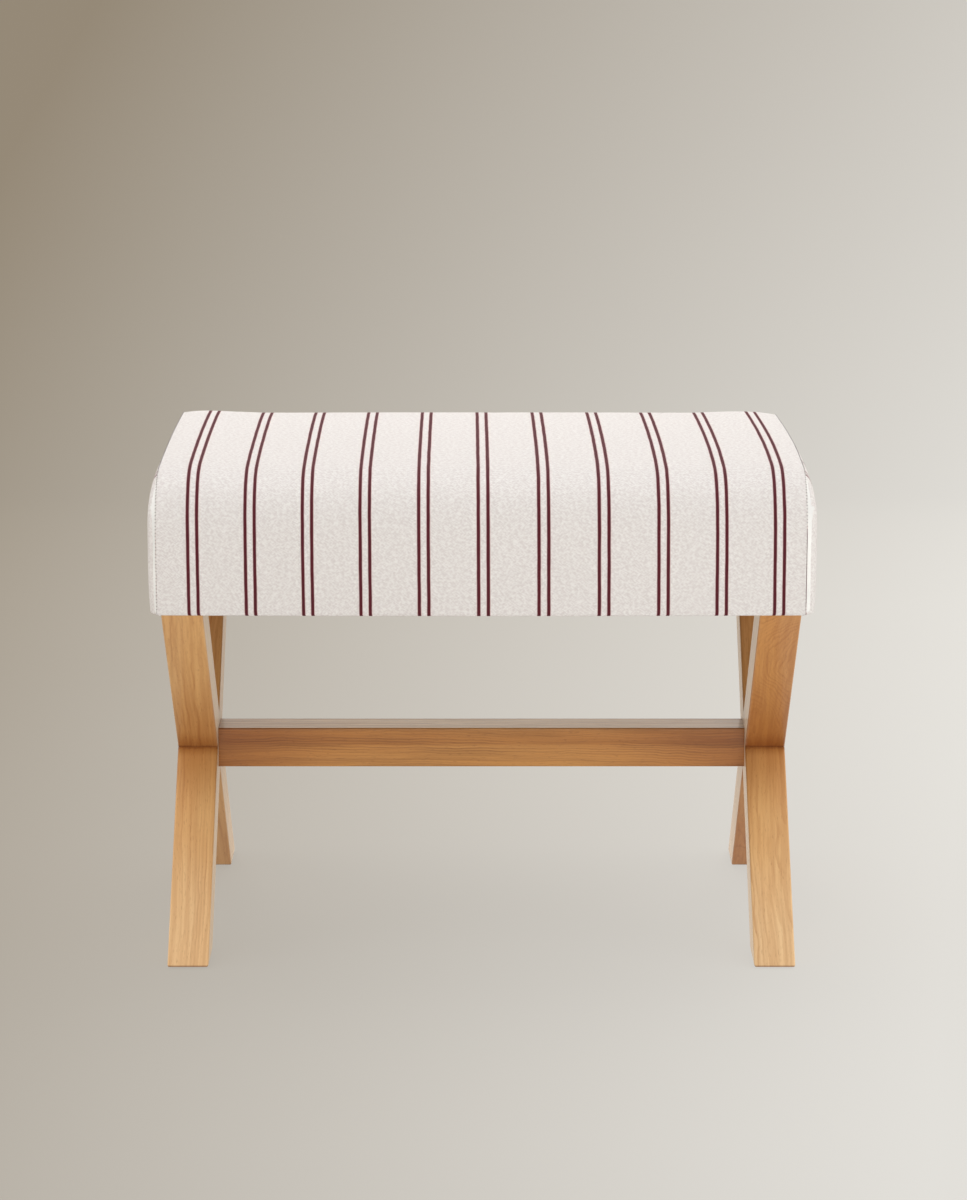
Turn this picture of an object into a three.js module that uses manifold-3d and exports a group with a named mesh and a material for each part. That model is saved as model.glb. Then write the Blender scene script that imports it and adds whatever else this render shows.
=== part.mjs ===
import * as THREE from 'three';
import { mergeVertices } from 'three/addons/utils/BufferGeometryUtils.js';
import Module from 'manifold-3d';

// X frame stool: two crossed-leg side frames, a stretcher and an upholstered box seat.
// Sizes are in millimetres. X is the width, Y runs from the front to the back, Z is up.
// The origin is the centre of the footprint, on the floor.

const wasm = await Module();
wasm.setup();

// Overall sizes
const seatWidth = 600;
const seatDepth = 400;
const stoolHeight = 465;
const seatThickness = 130;

// Clearances: between touching pieces, and how far a cutting shape runs past a face
const fitGap = 0.3;
const cutOverrun = 2;

// Crossed legs: how far the frames stand in from the seat's sides and ends, and the stock
const frameSideInset = 10;
const frameEndInset = 3;
const legWidth = 38;
const legDepth = 40;
const edgeEase = 2;

// Stretcher between the two crossings, set a little below their middle
const stretcherHeight = 38;
const stretcherDepth = 40;
const stretcherDrop = 3;

// Nail-on glides under the feet
const glideDiameter = 20;
const glideProud = 1.5;
const nailDiameter = 2.4;
const nailLength = 12;

// Stretcher fastening: one long bolt, a barrel nut, two dowels and a cap at each end
const longBoltDiameter = 6;
const longBoltHeadDiameter = 10;
const longBoltHeadHeight = 6;
const longBoltTail = 6;
const capDiameter = 14;
const capThickness = 2;
const barrelNutDiameter = 10;
const barrelNutLength = 16;
const barrelNutSetback = 32;
const dowelDiameter = 8;
const dowelLength = 28;
const dowelSpacing = 24;

// Steel mounting bar let into the arm tips of each frame, and its wood screws
const barWidth = 25;
const barThickness = 4;
const barEndInset = 10;
const screwDiameter = 4.5;
const screwHeadDiameter = 8.4;
const screwHeadHeight = 2.4;
const screwLength = 25;
const screwPlaceShares = [0.56, 0.86];

// Bolts that hold the bars up to insert nuts in the seat box
const seatBoltDiameter = 6;
const seatBoltHeadDiameter = 11;
const seatBoltHeadHeight = 4;
const seatBoltSpacing = 160;
const seatBoltGrip = 10;
const washerDiameter = 16;
const washerThickness = 1.5;
const insertNutDiameter = 10;
const insertNutLength = 15;

// Seat box of solid rails, corner blocks and a plywood deck
const endRailThickness = 18;
const middleRailThickness = 18;
const cornerBlockLeg = 45;
const cornerBlockHeight = 50;
const deckThickness = 9;
const foamThickness = 43;

// Soft layers
const clothThickness = 1.2;
const waddingThickness = 5;
const dustCoverThickness = 0.8;
const dustCoverInset = 10;
const hemWidth = 25;

// Form of the upholstered seat
const edgeRounding = 60;
const roundingPowerShare = 2.3;
const topCrown = 2.5;
const sideSwell = 6;
const swellInsetShares = [0, 0.025, 0.09, 0.22, 0.5];
const swellHeightShares = [0, 0.4, 0.72, 0.92, 1];

// Facet counts
const cornerSteps = 8;
const crownSteps = 6;
const fastenerSides = 12;
const glideSides = 20;

// Heights, from the floor up
const seatUnderside = stoolHeight - seatThickness;
const armTop = seatUnderside - fitGap;
const footBottom = glideProud;
const legRise = armTop - footBottom;
const crossingHeight = footBottom + legRise / 2;
const clothBottom = seatUnderside + dustCoverThickness + fitGap;
const railBottom = clothBottom + clothThickness + fitGap;

// Depths of the soft layers under the cloth's outer face
const waddingInset = clothThickness + fitGap;
const waddingBackInset = waddingInset + waddingThickness;
const coreInset = waddingBackInset + fitGap;
const coreTop = stoolHeight - coreInset;
const foamBottom = coreTop - foamThickness;
const deckBottom = foamBottom - fitGap - deckThickness;
const railTop = deckBottom - fitGap;

// Side frames: each leg's lean, from the frame's depth, its rise and the leg stock
const frameWidth = seatWidth - 2 * frameSideInset;
const frameDepth = seatDepth - 2 * frameEndInset;
const diagonal = Math.sqrt(frameDepth ** 2 + legRise ** 2 - legDepth ** 2);
const leanShare = (frameDepth * legRise - legDepth * diagonal) / (legRise ** 2 - legDepth ** 2);
const leanAngle = Math.atan(leanShare);
const tipLength = legDepth / Math.cos(leanAngle);
const legCentreX = (frameWidth - legWidth) / 2;
const legInnerX = frameWidth / 2 - legWidth;
const stretcherCentreZ = crossingHeight - stretcherDrop;
const barLength = frameDepth - 2 * barEndInset;
const barBottom = armTop - barThickness;
const screwTop = armTop - fitGap;

// Seat box
const seamX = seatWidth / 2 - sideSwell;
const railOuterX = seamX - coreInset;
const railOuterY = seatDepth / 2 - coreInset;

// Finishes
const beech = { color: 0xcfa06c, roughness: 0.55, metalness: 0 };
const pine = { color: 0xd9bd8c, roughness: 0.75, metalness: 0 };
const plywood = { color: 0xc9a878, roughness: 0.8, metalness: 0 };
const stripedCloth = { color: 0xe9e5e1, roughness: 0.95, metalness: 0 };
const blackCloth = { color: 0x26262a, roughness: 0.95, metalness: 0 };
const foamFinish = { color: 0xf0e6b8, roughness: 0.9, metalness: 0 };
const fibreFinish = { color: 0xf6f6f4, roughness: 1, metalness: 0 };
const steel = { color: 0xa8abb0, roughness: 0.35, metalness: 1 };
const blackSteel = { color: 0x2a2a2c, roughness: 0.5, metalness: 0.8 };
const plastic = { color: 0x3a342e, roughness: 0.6, metalness: 0 };
const tanPlastic = { color: 0xb98d5c, roughness: 0.6, metalness: 0 };

const stool = new THREE.Group();

// A closed mesh as a solid that can be cut and joined
function solid(geometry) {
  const shell = geometry.clone();
  shell.deleteAttribute('normal');
  shell.deleteAttribute('uv');
  const merged = mergeVertices(shell);
  const vertProperties = new Float32Array(merged.attributes.position.array);
  const triVerts = new Uint32Array(merged.index.array);
  return new wasm.Manifold(new wasm.Mesh({ numProp: 3, vertProperties, triVerts }));
}

// A solid's faces as a geometry
function faces(body) {
  const mesh = body.getMesh();
  const geometry = new THREE.BufferGeometry();
  geometry.setAttribute('position', new THREE.BufferAttribute(mesh.vertProperties, 3));
  geometry.setIndex(new THREE.BufferAttribute(mesh.triVerts, 1));
  return geometry;
}

// One named piece, placed in the stool or in one of its groups
function piece(name, body, finish, parent = stool) {
  const geometry = faces(body);
  geometry.computeVertexNormals();
  const mesh = new THREE.Mesh(geometry, new THREE.MeshStandardMaterial(finish));
  mesh.name = name;
  parent.add(mesh);
  return mesh;
}

// A block between two corners
function block(low, high) {
  const size = high.map((value, i) => value - low[i]);
  const geometry = new THREE.BoxGeometry(...size);
  geometry.translate(...high.map((value, i) => (value + low[i]) / 2));
  return solid(geometry);
}

// A round solid about Z, from [radius, height] points that run up from the axis and back to it
function turned(points, sides = fastenerSides) {
  const profile = points.map(([radius, height]) => new THREE.Vector2(radius, height));
  const geometry = new THREE.LatheGeometry(profile, sides);
  geometry.rotateX(Math.PI / 2);
  return solid(geometry);
}

// A plain rod about Z
function rod(radius, low, high, sides = fastenerSides) {
  return turned([[0, low], [radius, low], [radius, high], [0, high]], sides);
}

// Turns a solid made about Z so that its top points along +X or -X
function towardsX(body, sign) {
  const geometry = faces(body);
  geometry.rotateY(sign * Math.PI / 2);
  return solid(geometry);
}

function moved(body, x, y, z) {
  const geometry = faces(body);
  geometry.translate(x, y, z);
  return solid(geometry);
}

// An outline in Y and Z as a bar along X, centred on X zero, with its edges eased
function barAlongX(outline, width, ease) {
  const shape = new THREE.Shape(outline.map(([y, z]) => new THREE.Vector2(y, z)));
  const depth = width - 2 * ease;
  const geometry = new THREE.ExtrudeGeometry(shape, {
    depth,
    bevelEnabled: ease > 0,
    bevelThickness: ease,
    bevelSize: ease,
    bevelOffset: -ease,
    bevelSegments: 2,
  });
  geometry.translate(0, 0, -depth / 2);
  const toYZ = new THREE.Matrix4().makeBasis(
    new THREE.Vector3(0, 1, 0),
    new THREE.Vector3(0, 0, 1),
    new THREE.Vector3(1, 0, 0),
  );
  geometry.applyMatrix4(toYZ);
  return solid(geometry);
}

// Outline of a leg. lean +1 has its foot at the front, -1 has it at the back.
function legOutline(lean) {
  const footY = -lean * leanShare * legRise / 2;
  const half = tipLength / 2;
  return [
    [footY - half, footBottom],
    [footY + half, footBottom],
    [-footY + half, armTop],
    [-footY - half, armTop],
  ];
}

// Half of a leg's path through the crossing, as the notch that the other leg gets.
// The notch runs from the joint's middle plane out past the face on the side given.
function lapNotch(lean, faceSign) {
  const reach = legWidth / 2 + cutOverrun + fitGap / 2;
  const width = legDepth + 2 * fitGap;
  const geometry = new THREE.BoxGeometry(reach, width, 2 * tipLength);
  geometry.rotateX(-lean * leanAngle);
  geometry.translate(faceSign * (reach / 2 - fitGap / 2), 0, crossingHeight);
  return solid(geometry);
}

// Places of the bar screws along Y, at the front and the rear arm tip
function screwPlaces(endSign) {
  return screwPlaceShares.map((share) => endSign * (frameDepth / 2 - share * tipLength));
}

// A countersunk wood screw with its head's top at height zero
function woodScrew(clearance) {
  const radius = screwDiameter / 2 + clearance;
  const headRadius = screwHeadDiameter / 2 + clearance;
  const pointLength = screwDiameter;
  return turned([
    [0, -screwLength - clearance],
    [radius, -screwLength + pointLength - clearance],
    [radius, -screwHeadHeight - clearance],
    [headRadius, -clearance],
    [headRadius, clearance > 0 ? cutOverrun : 0],
    [0, clearance > 0 ? cutOverrun : 0],
  ]);
}

// The slot across both arm tips of a frame that the mounting bar lies in
function barSlot() {
  const halfWidth = barWidth / 2 + fitGap;
  const halfLength = barLength / 2 + fitGap;
  const low = [-halfWidth, -halfLength, barBottom - fitGap];
  return block(low, [halfWidth, halfLength, armTop + cutOverrun]);
}

// The clearance holes of the bar screws in one frame
function screwHoles() {
  const places = [...screwPlaces(-1), ...screwPlaces(1)];
  const holes = places.map((y) => moved(woodScrew(fitGap), 0, y, screwTop));
  return holes.reduce((all, hole) => all.add(hole));
}

// The stepped hole of the long bolt, in from a frame's outer face
function longBoltHole(side) {
  const face = legWidth / 2;
  const seat = face - capThickness - longBoltHeadHeight - 2 * fitGap;
  const bore = rod(longBoltDiameter / 2 + fitGap, -face - cutOverrun, face);
  const recess = rod(capDiameter / 2 + fitGap, seat, face + cutOverrun);
  return moved(towardsX(bore.add(recess), side), 0, 0, stretcherCentreZ);
}

// A dowel's hole in a leg's inner face
function dowelHoles(side) {
  const depth = dowelLength / 2 + fitGap;
  const face = legWidth / 2;
  const hole = towardsX(rod(dowelDiameter / 2 + fitGap, face - depth, face + cutOverrun), -side);
  const front = moved(hole, 0, -dowelSpacing / 2, stretcherCentreZ);
  return front.add(moved(hole, 0, dowelSpacing / 2, stretcherCentreZ));
}

function glideNailHole(lean) {
  const footY = -lean * leanShare * legRise / 2;
  const top = footBottom + nailLength + fitGap;
  return moved(rod(nailDiameter / 2 + fitGap, -cutOverrun, top), 0, footY, 0);
}

// A leg's solid in its frame's own place, before it is moved out to its side
function legSolid(side, lean) {
  const notch = lapNotch(-lean, lean * side);
  let leg = barAlongX(legOutline(lean), legWidth, edgeEase).subtract(notch);
  leg = leg.subtract(barSlot()).subtract(screwHoles());
  leg = leg.subtract(longBoltHole(side)).subtract(glideNailHole(lean));
  return lean > 0 ? leg.subtract(dowelHoles(side)) : leg;
}

function mountingBar() {
  const half = barWidth / 2;
  let bar = block([-half, -barLength / 2, barBottom], [half, barLength / 2, armTop]);
  bar = bar.subtract(screwHoles());
  for (const end of [-1, 1]) {
    const hole = rod(seatBoltDiameter / 2 + fitGap, barBottom - cutOverrun, armTop + cutOverrun);
    bar = bar.subtract(moved(hole, 0, end * seatBoltSpacing / 2, 0));
  }
  return bar;
}

// A glide: a flat domed disc with its nail
function glide() {
  const edge = glideProud / 3;
  const top = footBottom - fitGap;
  const nail = nailDiameter / 2;
  return turned([
    [0, 0],
    [glideDiameter / 2 - edge, 0],
    [glideDiameter / 2, edge],
    [glideDiameter / 2, top],
    [nail, top],
    [nail, footBottom + nailLength - nailDiameter],
    [0, footBottom + nailLength],
  ], glideSides);
}

// The long bolt, about Z with its head up, from the outer face at height zero
function longBolt() {
  const headTop = -capThickness - fitGap;
  const headBottom = headTop - longBoltHeadHeight;
  const end = -legWidth - fitGap - barrelNutSetback - barrelNutDiameter / 2 - longBoltTail;
  const socket = longBoltHeadDiameter / 4;
  const radius = longBoltDiameter / 2;
  return turned([
    [0, end],
    [radius, end],
    [radius, headBottom],
    [longBoltHeadDiameter / 2, headBottom],
    [longBoltHeadDiameter / 2, headTop],
    [socket, headTop],
    [socket, headTop - longBoltHeadHeight / 2],
    [0, headTop - longBoltHeadHeight / 2],
  ]);
}

// The barrel nut stands across the bolt, with the bolt's hole through its middle
function barrelNut() {
  const half = barrelNutLength / 2;
  const bore = rod(longBoltDiameter / 2 + fitGap, -barrelNutDiameter, barrelNutDiameter);
  return rod(barrelNutDiameter / 2, -half, half).subtract(towardsX(bore, 1));
}

function cap() {
  const edge = capThickness / 4;
  const radius = capDiameter / 2;
  return turned([
    [0, -capThickness],
    [radius, -capThickness],
    [radius, -edge],
    [radius - edge, 0],
    [0, 0],
  ]);
}

function dowel() {
  const half = dowelLength / 2 - fitGap / 2;
  const edge = dowelDiameter / 8;
  const radius = dowelDiameter / 2;
  return turned([
    [0, -half],
    [radius - edge, -half],
    [radius, -half + edge],
    [radius, half - edge],
    [radius - edge, half],
    [0, half],
  ]);
}

function seatBolt() {
  const headTop = barBottom - washerThickness - 2 * fitGap;
  const radius = seatBoltDiameter / 2;
  const socket = seatBoltHeadDiameter / 4;
  return turned([
    [0, headTop - seatBoltHeadHeight / 2],
    [socket, headTop - seatBoltHeadHeight / 2],
    [socket, headTop - seatBoltHeadHeight],
    [seatBoltHeadDiameter / 3, headTop - seatBoltHeadHeight],
    [seatBoltHeadDiameter / 2, headTop - seatBoltHeadHeight / 2],
    [seatBoltHeadDiameter / 2, headTop],
    [radius, headTop],
    [radius, railBottom + seatBoltGrip],
    [0, railBottom + seatBoltGrip],
  ]);
}

// A ring about Z between two heights
function ring(outerRadius, innerRadius, low, high) {
  const hole = rod(innerRadius, low - cutOverrun, high + cutOverrun);
  return rod(outerRadius, low, high).subtract(hole);
}

function washer() {
  const top = barBottom - fitGap;
  const inner = seatBoltDiameter / 2 + fitGap;
  return ring(washerDiameter / 2, inner, top - washerThickness, top);
}

function insertNut() {
  const inner = seatBoltDiameter / 2 + fitGap;
  return ring(insertNutDiameter / 2, inner, railBottom, railBottom + insertNutLength);
}

// Everything that hangs on one crossed-leg frame, side -1 left and +1 right
function sideFrame(side) {
  const word = side < 0 ? 'left' : 'right';
  const frame = new THREE.Group();
  frame.position.x = side * legCentreX;
  stool.add(frame);
  piece(`${word}_leg_front_foot`, legSolid(side, 1), beech, frame);
  piece(`${word}_leg_rear_foot`, legSolid(side, -1), beech, frame);
  piece(`${word}_mounting_bar`, mountingBar(), blackSteel, frame);
  const bolt = piece(`${word}_stretcher_bolt`, towardsX(longBolt(), side), steel, frame);
  bolt.position.set(side * legWidth / 2, 0, stretcherCentreZ);
  const bung = piece(`${word}_bolt_cap`, towardsX(cap(), side), tanPlastic, frame);
  bung.position.set(side * legWidth / 2, 0, stretcherCentreZ);
  const nut = piece(`${word}_barrel_nut`, barrelNut(), steel, frame);
  nut.position.set(-side * (legWidth / 2 + fitGap + barrelNutSetback), 0, stretcherCentreZ);
  for (const end of [-1, 1]) {
    const endWord = end < 0 ? 'front' : 'rear';
    const peg = piece(`${word}_${endWord}_dowel`, towardsX(dowel(), side), pine, frame);
    peg.position.set(-side * (legWidth / 2 + fitGap / 2), end * dowelSpacing / 2, stretcherCentreZ);
    const foot = piece(`${word}_${endWord}_glide`, glide(), plastic, frame);
    foot.position.y = end * leanShare * legRise / 2;
    screwPlaces(end).forEach((y, i) => {
      const screw = piece(`${word}_${endWord}_bar_screw_${i + 1}`, woodScrew(0), steel, frame);
      screw.position.set(0, y, screwTop);
    });
    const boltY = end * seatBoltSpacing / 2;
    piece(`${word}_${endWord}_seat_bolt`, seatBolt(), steel, frame).position.y = boltY;
    piece(`${word}_${endWord}_bolt_washer`, washer(), steel, frame).position.y = boltY;
    piece(`${word}_${endWord}_insert_nut`, insertNut(), steel, frame).position.y = boltY;
  }
}

// The stretcher, with its end holes for dowels and bolts and the nut holes in its underside
function stretcher() {
  const halfLength = legInnerX - fitGap;
  const halfDepth = stretcherDepth / 2;
  const halfHeight = stretcherHeight / 2;
  const outline = [
    [-halfDepth, -halfHeight],
    [halfDepth, -halfHeight],
    [halfDepth, halfHeight],
    [-halfDepth, halfHeight],
  ];
  const legFace = legInnerX + cutOverrun;
  const nutX = legInnerX - fitGap - barrelNutSetback;
  let rail = barAlongX(outline, 2 * halfLength, edgeEase);
  for (const side of [-1, 1]) {
    const boltEnd = nutX - barrelNutDiameter / 2 - longBoltTail - fitGap;
    rail = rail.subtract(towardsX(rod(longBoltDiameter / 2 + fitGap, boltEnd, legFace), side));
    const nutTop = barrelNutLength / 2 + fitGap;
    const nutHole = rod(barrelNutDiameter / 2 + fitGap, -halfHeight - cutOverrun, nutTop);
    rail = rail.subtract(moved(nutHole, side * nutX, 0, 0));
    const dowelEnd = legInnerX - fitGap - dowelLength / 2;
    const dowelHole = towardsX(rod(dowelDiameter / 2 + fitGap, dowelEnd, legFace), side);
    for (const end of [-1, 1]) {
      rail = rail.subtract(moved(dowelHole, 0, end * dowelSpacing / 2, 0));
    }
  }
  piece('stretcher', rail, beech).position.z = stretcherCentreZ;
}

// Points of the seat's outline in Y and Z, a given depth inside the cloth, down to a given bottom
function seatOutline(inset, bottom) {
  const halfDepth = seatDepth / 2 - inset;
  const edgeTop = stoolHeight - topCrown - inset;
  const rounding = edgeRounding - inset;
  const power = 2 / roundingPowerShare;
  const corner = [];
  for (let i = 0; i <= cornerSteps; i += 1) {
    const angle = (i / cornerSteps) * (Math.PI / 2);
    const outward = rounding * Math.max(Math.cos(angle), 0) ** power;
    const upward = rounding * Math.sin(angle) ** power;
    corner.push([halfDepth - rounding + outward, edgeTop - rounding + upward]);
  }
  const crown = [];
  for (let i = 1; i < crownSteps; i += 1) {
    const place = (2 * i) / crownSteps - 1;
    crown.push([place * (halfDepth - rounding), edgeTop + topCrown * (1 - place ** 2)]);
  }
  const front = corner.map(([y, z]) => [-y, z]);
  return [[-halfDepth, bottom], ...front, ...crown, ...corner.reverse(), [halfDepth, bottom]];
}

// The seat's form at a given depth inside the cloth. Its sides swell past the seams by swell.
function seatForm(inset, swell, bottom) {
  const shares = swell > 0 ? swellInsetShares : [0];
  const half = shares.map((share, i) => {
    const drawnIn = share * edgeRounding;
    const x = seamX - inset + swell * swellHeightShares[i];
    return { x, outline: seatOutline(inset + drawnIn, bottom + drawnIn) };
  });
  const mirrored = half.map(({ x, outline }) => ({ x: -x, outline })).reverse();
  const rings = [...mirrored, ...half];
  const count = rings[0].outline.length;
  const points = rings.flatMap(({ x, outline }) => outline.flatMap(([y, z]) => [x, y, z]));
  const middle = (clothBottom + stoolHeight) / 2;
  points.push(rings[0].x, 0, middle, rings[rings.length - 1].x, 0, middle);
  const lastRing = (rings.length - 1) * count;
  const leftHub = rings.length * count;
  const index = [];
  for (let i = 0; i < count; i += 1) {
    const next = (i + 1) % count;
    for (let a = 0; a < lastRing; a += count) {
      const b = a + count;
      index.push(a + i, b + i, b + next, a + i, b + next, a + next);
    }
    index.push(leftHub, i, next);
    index.push(leftHub + 1, lastRing + next, lastRing + i);
  }
  const geometry = new THREE.BufferGeometry();
  geometry.setAttribute('position', new THREE.Float32BufferAttribute(points, 3));
  geometry.setIndex(index);
  return solid(geometry);
}

// A block between two distances out from the middle, on the left (side -1) or the right
function blockOnSide(side, inner, outer, halfDepth, bottom, top) {
  const low = Math.min(side * inner, side * outer);
  const high = Math.max(side * inner, side * outer);
  return block([low, -halfDepth, bottom], [high, halfDepth, top]);
}

// Rods at the four seat bolts, for the holes that the bolts and their nuts need
function seatBoltRods(radius, bottom, top) {
  const rods = [];
  for (const side of [-1, 1]) {
    for (const end of [-1, 1]) {
      rods.push(moved(rod(radius, bottom, top), side * legCentreX, end * seatBoltSpacing / 2, 0));
    }
  }
  return rods.reduce((all, one) => all.add(one));
}

// The rails, corner blocks and deck, cut to the rounded form that the padding lies on
function seatBox() {
  const core = seatForm(coreInset, 0, railBottom - cutOverrun);
  const nutRadius = insertNutDiameter / 2 + fitGap;
  const nutTop = railBottom + insertNutLength + fitGap;
  const nutHoles = seatBoltRods(nutRadius, railBottom - cutOverrun, nutTop);
  const endInnerY = railOuterY - endRailThickness;
  const endHalfLength = legInnerX - fitGap;

  for (const side of [-1, 1]) {
    const word = side < 0 ? 'left' : 'right';
    const rail = blockOnSide(side, legInnerX, railOuterX, railOuterY, railBottom, railTop);
    piece(`seat_${word}_rail`, rail.intersect(core).subtract(nutHoles), pine);
    for (const end of [-1, 1]) {
      const endWord = end < 0 ? 'front' : 'rear';
      piece(`${word}_${endWord}_corner_block`, cornerBlock(side, end), pine);
    }
  }

  for (const end of [-1, 1]) {
    const word = end < 0 ? 'front' : 'rear';
    const faceY = [end * railOuterY, end * endInnerY].sort((a, b) => a - b);
    const low = [-endHalfLength, faceY[0], railBottom];
    const rail = block(low, [endHalfLength, faceY[1], railTop]);
    piece(`seat_${word}_rail`, rail.intersect(core), pine);
  }

  const middleY = endInnerY - fitGap;
  const half = middleRailThickness / 2;
  const middleLow = [-half, -middleY, railBottom];
  piece('seat_middle_rail', block(middleLow, [half, middleY, railTop]), pine);

  const deckLow = [-railOuterX, -railOuterY, deckBottom];
  const deck = block(deckLow, [railOuterX, railOuterY, deckBottom + deckThickness]);
  piece('seat_deck', deck.intersect(core), plywood);
}

// A three-cornered glue block in one inside corner of the box, flush with the rails' tops
function cornerBlock(side, end) {
  const x = side * (legInnerX - fitGap);
  const y = end * (railOuterY - endRailThickness - fitGap);
  const shape = new THREE.Shape([
    new THREE.Vector2(x, y),
    new THREE.Vector2(x - side * cornerBlockLeg, y),
    new THREE.Vector2(x, y - end * cornerBlockLeg),
  ]);
  const geometry = new THREE.ExtrudeGeometry(shape, {
    depth: cornerBlockHeight,
    bevelEnabled: false,
  });
  geometry.translate(0, 0, railTop - cornerBlockHeight);
  return solid(geometry);
}

// Foam on the deck and the wadding that wraps it and the rails
function padding() {
  const core = seatForm(coreInset, 0, railBottom - cutOverrun);
  const foamLow = [-seatWidth, -seatDepth, foamBottom];
  const aboveDeck = block(foamLow, [seatWidth, seatDepth, stoolHeight]);
  piece('seat_foam', core.intersect(aboveDeck), foamFinish);

  const outside = seatForm(waddingInset, sideSwell, railBottom);
  const inside = seatForm(waddingBackInset, 0, railBottom - cutOverrun);
  piece('seat_wadding', outside.subtract(inside), fibreFinish);
}

// The cloth: the striped main panel over front, top and back, the two side panels, and the
// black cloth under the seat. The panels turn under the rails as hems.
function covers() {
  const hemTop = clothBottom + clothThickness;
  const shell = seatForm(0, sideSwell, clothBottom)
    .subtract(seatForm(clothThickness, sideSwell, hemTop));
  const seam = seamX - clothThickness;
  const far = seatWidth;
  const windowY = seatDepth / 2 - hemWidth;
  const windowTop = hemTop + cutOverrun;
  const window = block([-far, -windowY, clothBottom - cutOverrun], [far, windowY, windowTop]);
  const boltRadius = seatBoltDiameter / 2 + fitGap;
  const bolts = seatBoltRods(boltRadius, barBottom, windowTop);

  const mainX = seam - fitGap / 2;
  const between = block([-mainX, -far, 0], [mainX, far, stoolHeight + cutOverrun]);
  piece('seat_cover_main', shell.intersect(between).subtract(window), stripedCloth);

  for (const side of [-1, 1]) {
    const word = side < 0 ? 'left' : 'right';
    const panelX = seam + fitGap / 2;
    const beyond = blockOnSide(side, panelX, far, far, 0, stoolHeight + cutOverrun);
    const hemY = windowY - fitGap;
    const hem = blockOnSide(side, seamX - hemWidth, seamX, hemY, clothBottom, hemTop);
    const panel = shell.intersect(beyond).add(hem).subtract(bolts);
    piece(`seat_cover_${word}_side`, panel, stripedCloth);
  }

  const dustX = seamX - dustCoverInset;
  const dustY = seatDepth / 2 - dustCoverInset;
  const dustTop = seatUnderside + dustCoverThickness;
  const dustCover = block([-dustX, -dustY, seatUnderside], [dustX, dustY, dustTop]);
  piece('dust_cover', dustCover.subtract(bolts), blackCloth);
}

sideFrame(-1);
sideFrame(1);
stretcher();
seatBox();
padding();
covers();

export default stool;
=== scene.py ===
import math

import bmesh
import bpy
import numpy as np
from mathutils import Matrix, Vector, noise


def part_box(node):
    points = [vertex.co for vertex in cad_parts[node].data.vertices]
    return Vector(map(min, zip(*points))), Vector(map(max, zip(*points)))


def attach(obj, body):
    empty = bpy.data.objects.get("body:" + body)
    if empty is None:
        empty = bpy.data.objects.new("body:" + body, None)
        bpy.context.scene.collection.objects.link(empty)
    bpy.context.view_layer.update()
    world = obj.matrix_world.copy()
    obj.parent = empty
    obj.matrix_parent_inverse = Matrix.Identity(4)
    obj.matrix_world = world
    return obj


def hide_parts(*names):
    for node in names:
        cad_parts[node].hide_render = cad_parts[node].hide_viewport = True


# X frame stool: its wood, striped cloth, padding and fittings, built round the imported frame.
# Lengths are in metres. X is the width, Y runs from the front to the back, Z is up.

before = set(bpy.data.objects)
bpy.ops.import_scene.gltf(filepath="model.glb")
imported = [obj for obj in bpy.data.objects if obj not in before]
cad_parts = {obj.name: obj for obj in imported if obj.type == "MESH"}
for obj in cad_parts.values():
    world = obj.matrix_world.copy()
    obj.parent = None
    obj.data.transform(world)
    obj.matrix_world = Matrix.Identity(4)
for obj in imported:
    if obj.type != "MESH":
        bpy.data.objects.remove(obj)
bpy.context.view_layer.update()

MM = 0.001
FLAT = 0.0001 * MM
SIDES = {"left": -1, "right": 1}
ENDS = {"front": -1, "rear": 1}

# Clearances, as in the frame: between touching pieces, and how far a cutter runs past a face
FIT_GAP = 0.3 * MM
OVERRUN = 2 * MM
JOINT_GAP = 0.05 * MM

# Crossed legs and the stretcher, from the frame's boxes and the depth of the stock
LEG_LOW, LEG_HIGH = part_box("right_leg_front_foot")
LEG_WIDTH = LEG_HIGH.x - LEG_LOW.x
LEG_DEPTH = 40 * MM
LEG_X = (LEG_HIGH.x + LEG_LOW.x) / 2
FRAME_DEPTH = LEG_HIGH.y - LEG_LOW.y
FOOT_BOTTOM = LEG_LOW.z
ARM_TOP = LEG_HIGH.z
RISE = ARM_TOP - FOOT_BOTTOM
CROSSING = (ARM_TOP + FOOT_BOTTOM) / 2
DIAGONAL = math.sqrt(FRAME_DEPTH**2 + RISE**2 - LEG_DEPTH**2)
LEAN_SHARE = (FRAME_DEPTH * RISE - LEG_DEPTH * DIAGONAL) / (RISE**2 - LEG_DEPTH**2)
LEAN = math.atan(LEAN_SHARE)
TIP_LENGTH = LEG_DEPTH / math.cos(LEAN)
FOOT_Y = LEAN_SHARE * RISE / 2
EDGE_EASE = 1.6 * MM

RAIL_LOW, RAIL_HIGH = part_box("stretcher")
RAIL_Z = (RAIL_LOW.z + RAIL_HIGH.z) / 2

# Fittings, with the frame's sizes
GLIDE_DIAMETER = 20 * MM
NAIL_DIAMETER = 2.4 * MM
NAIL_LENGTH = 12 * MM
LONG_BOLT_DIAMETER = 6 * MM
LONG_BOLT_HEAD = 6 * MM
CAP_DIAMETER = 14 * MM
CAP_THICKNESS = 2 * MM
NUT_DIAMETER = 10 * MM
NUT_LENGTH = 16 * MM
NUT_SETBACK = 32 * MM
BOLT_TAIL = 6 * MM
DOWEL_DIAMETER = 8 * MM
DOWEL_LENGTH = 28 * MM
DOWEL_SPACING = 24 * MM
BAR_WIDTH = 25 * MM
BAR_THICKNESS = 4 * MM
BAR_END_INSET = 10 * MM
SCREW_DIAMETER = 4.5 * MM
SCREW_HEAD = 8.4 * MM
SCREW_HEAD_HEIGHT = 2.4 * MM
SCREW_LENGTH = 25 * MM
SCREW_PLACE_SHARES = (0.56, 0.86)
SEAT_BOLT_DIAMETER = 6 * MM
SEAT_BOLT_HEAD = 11 * MM
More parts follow.
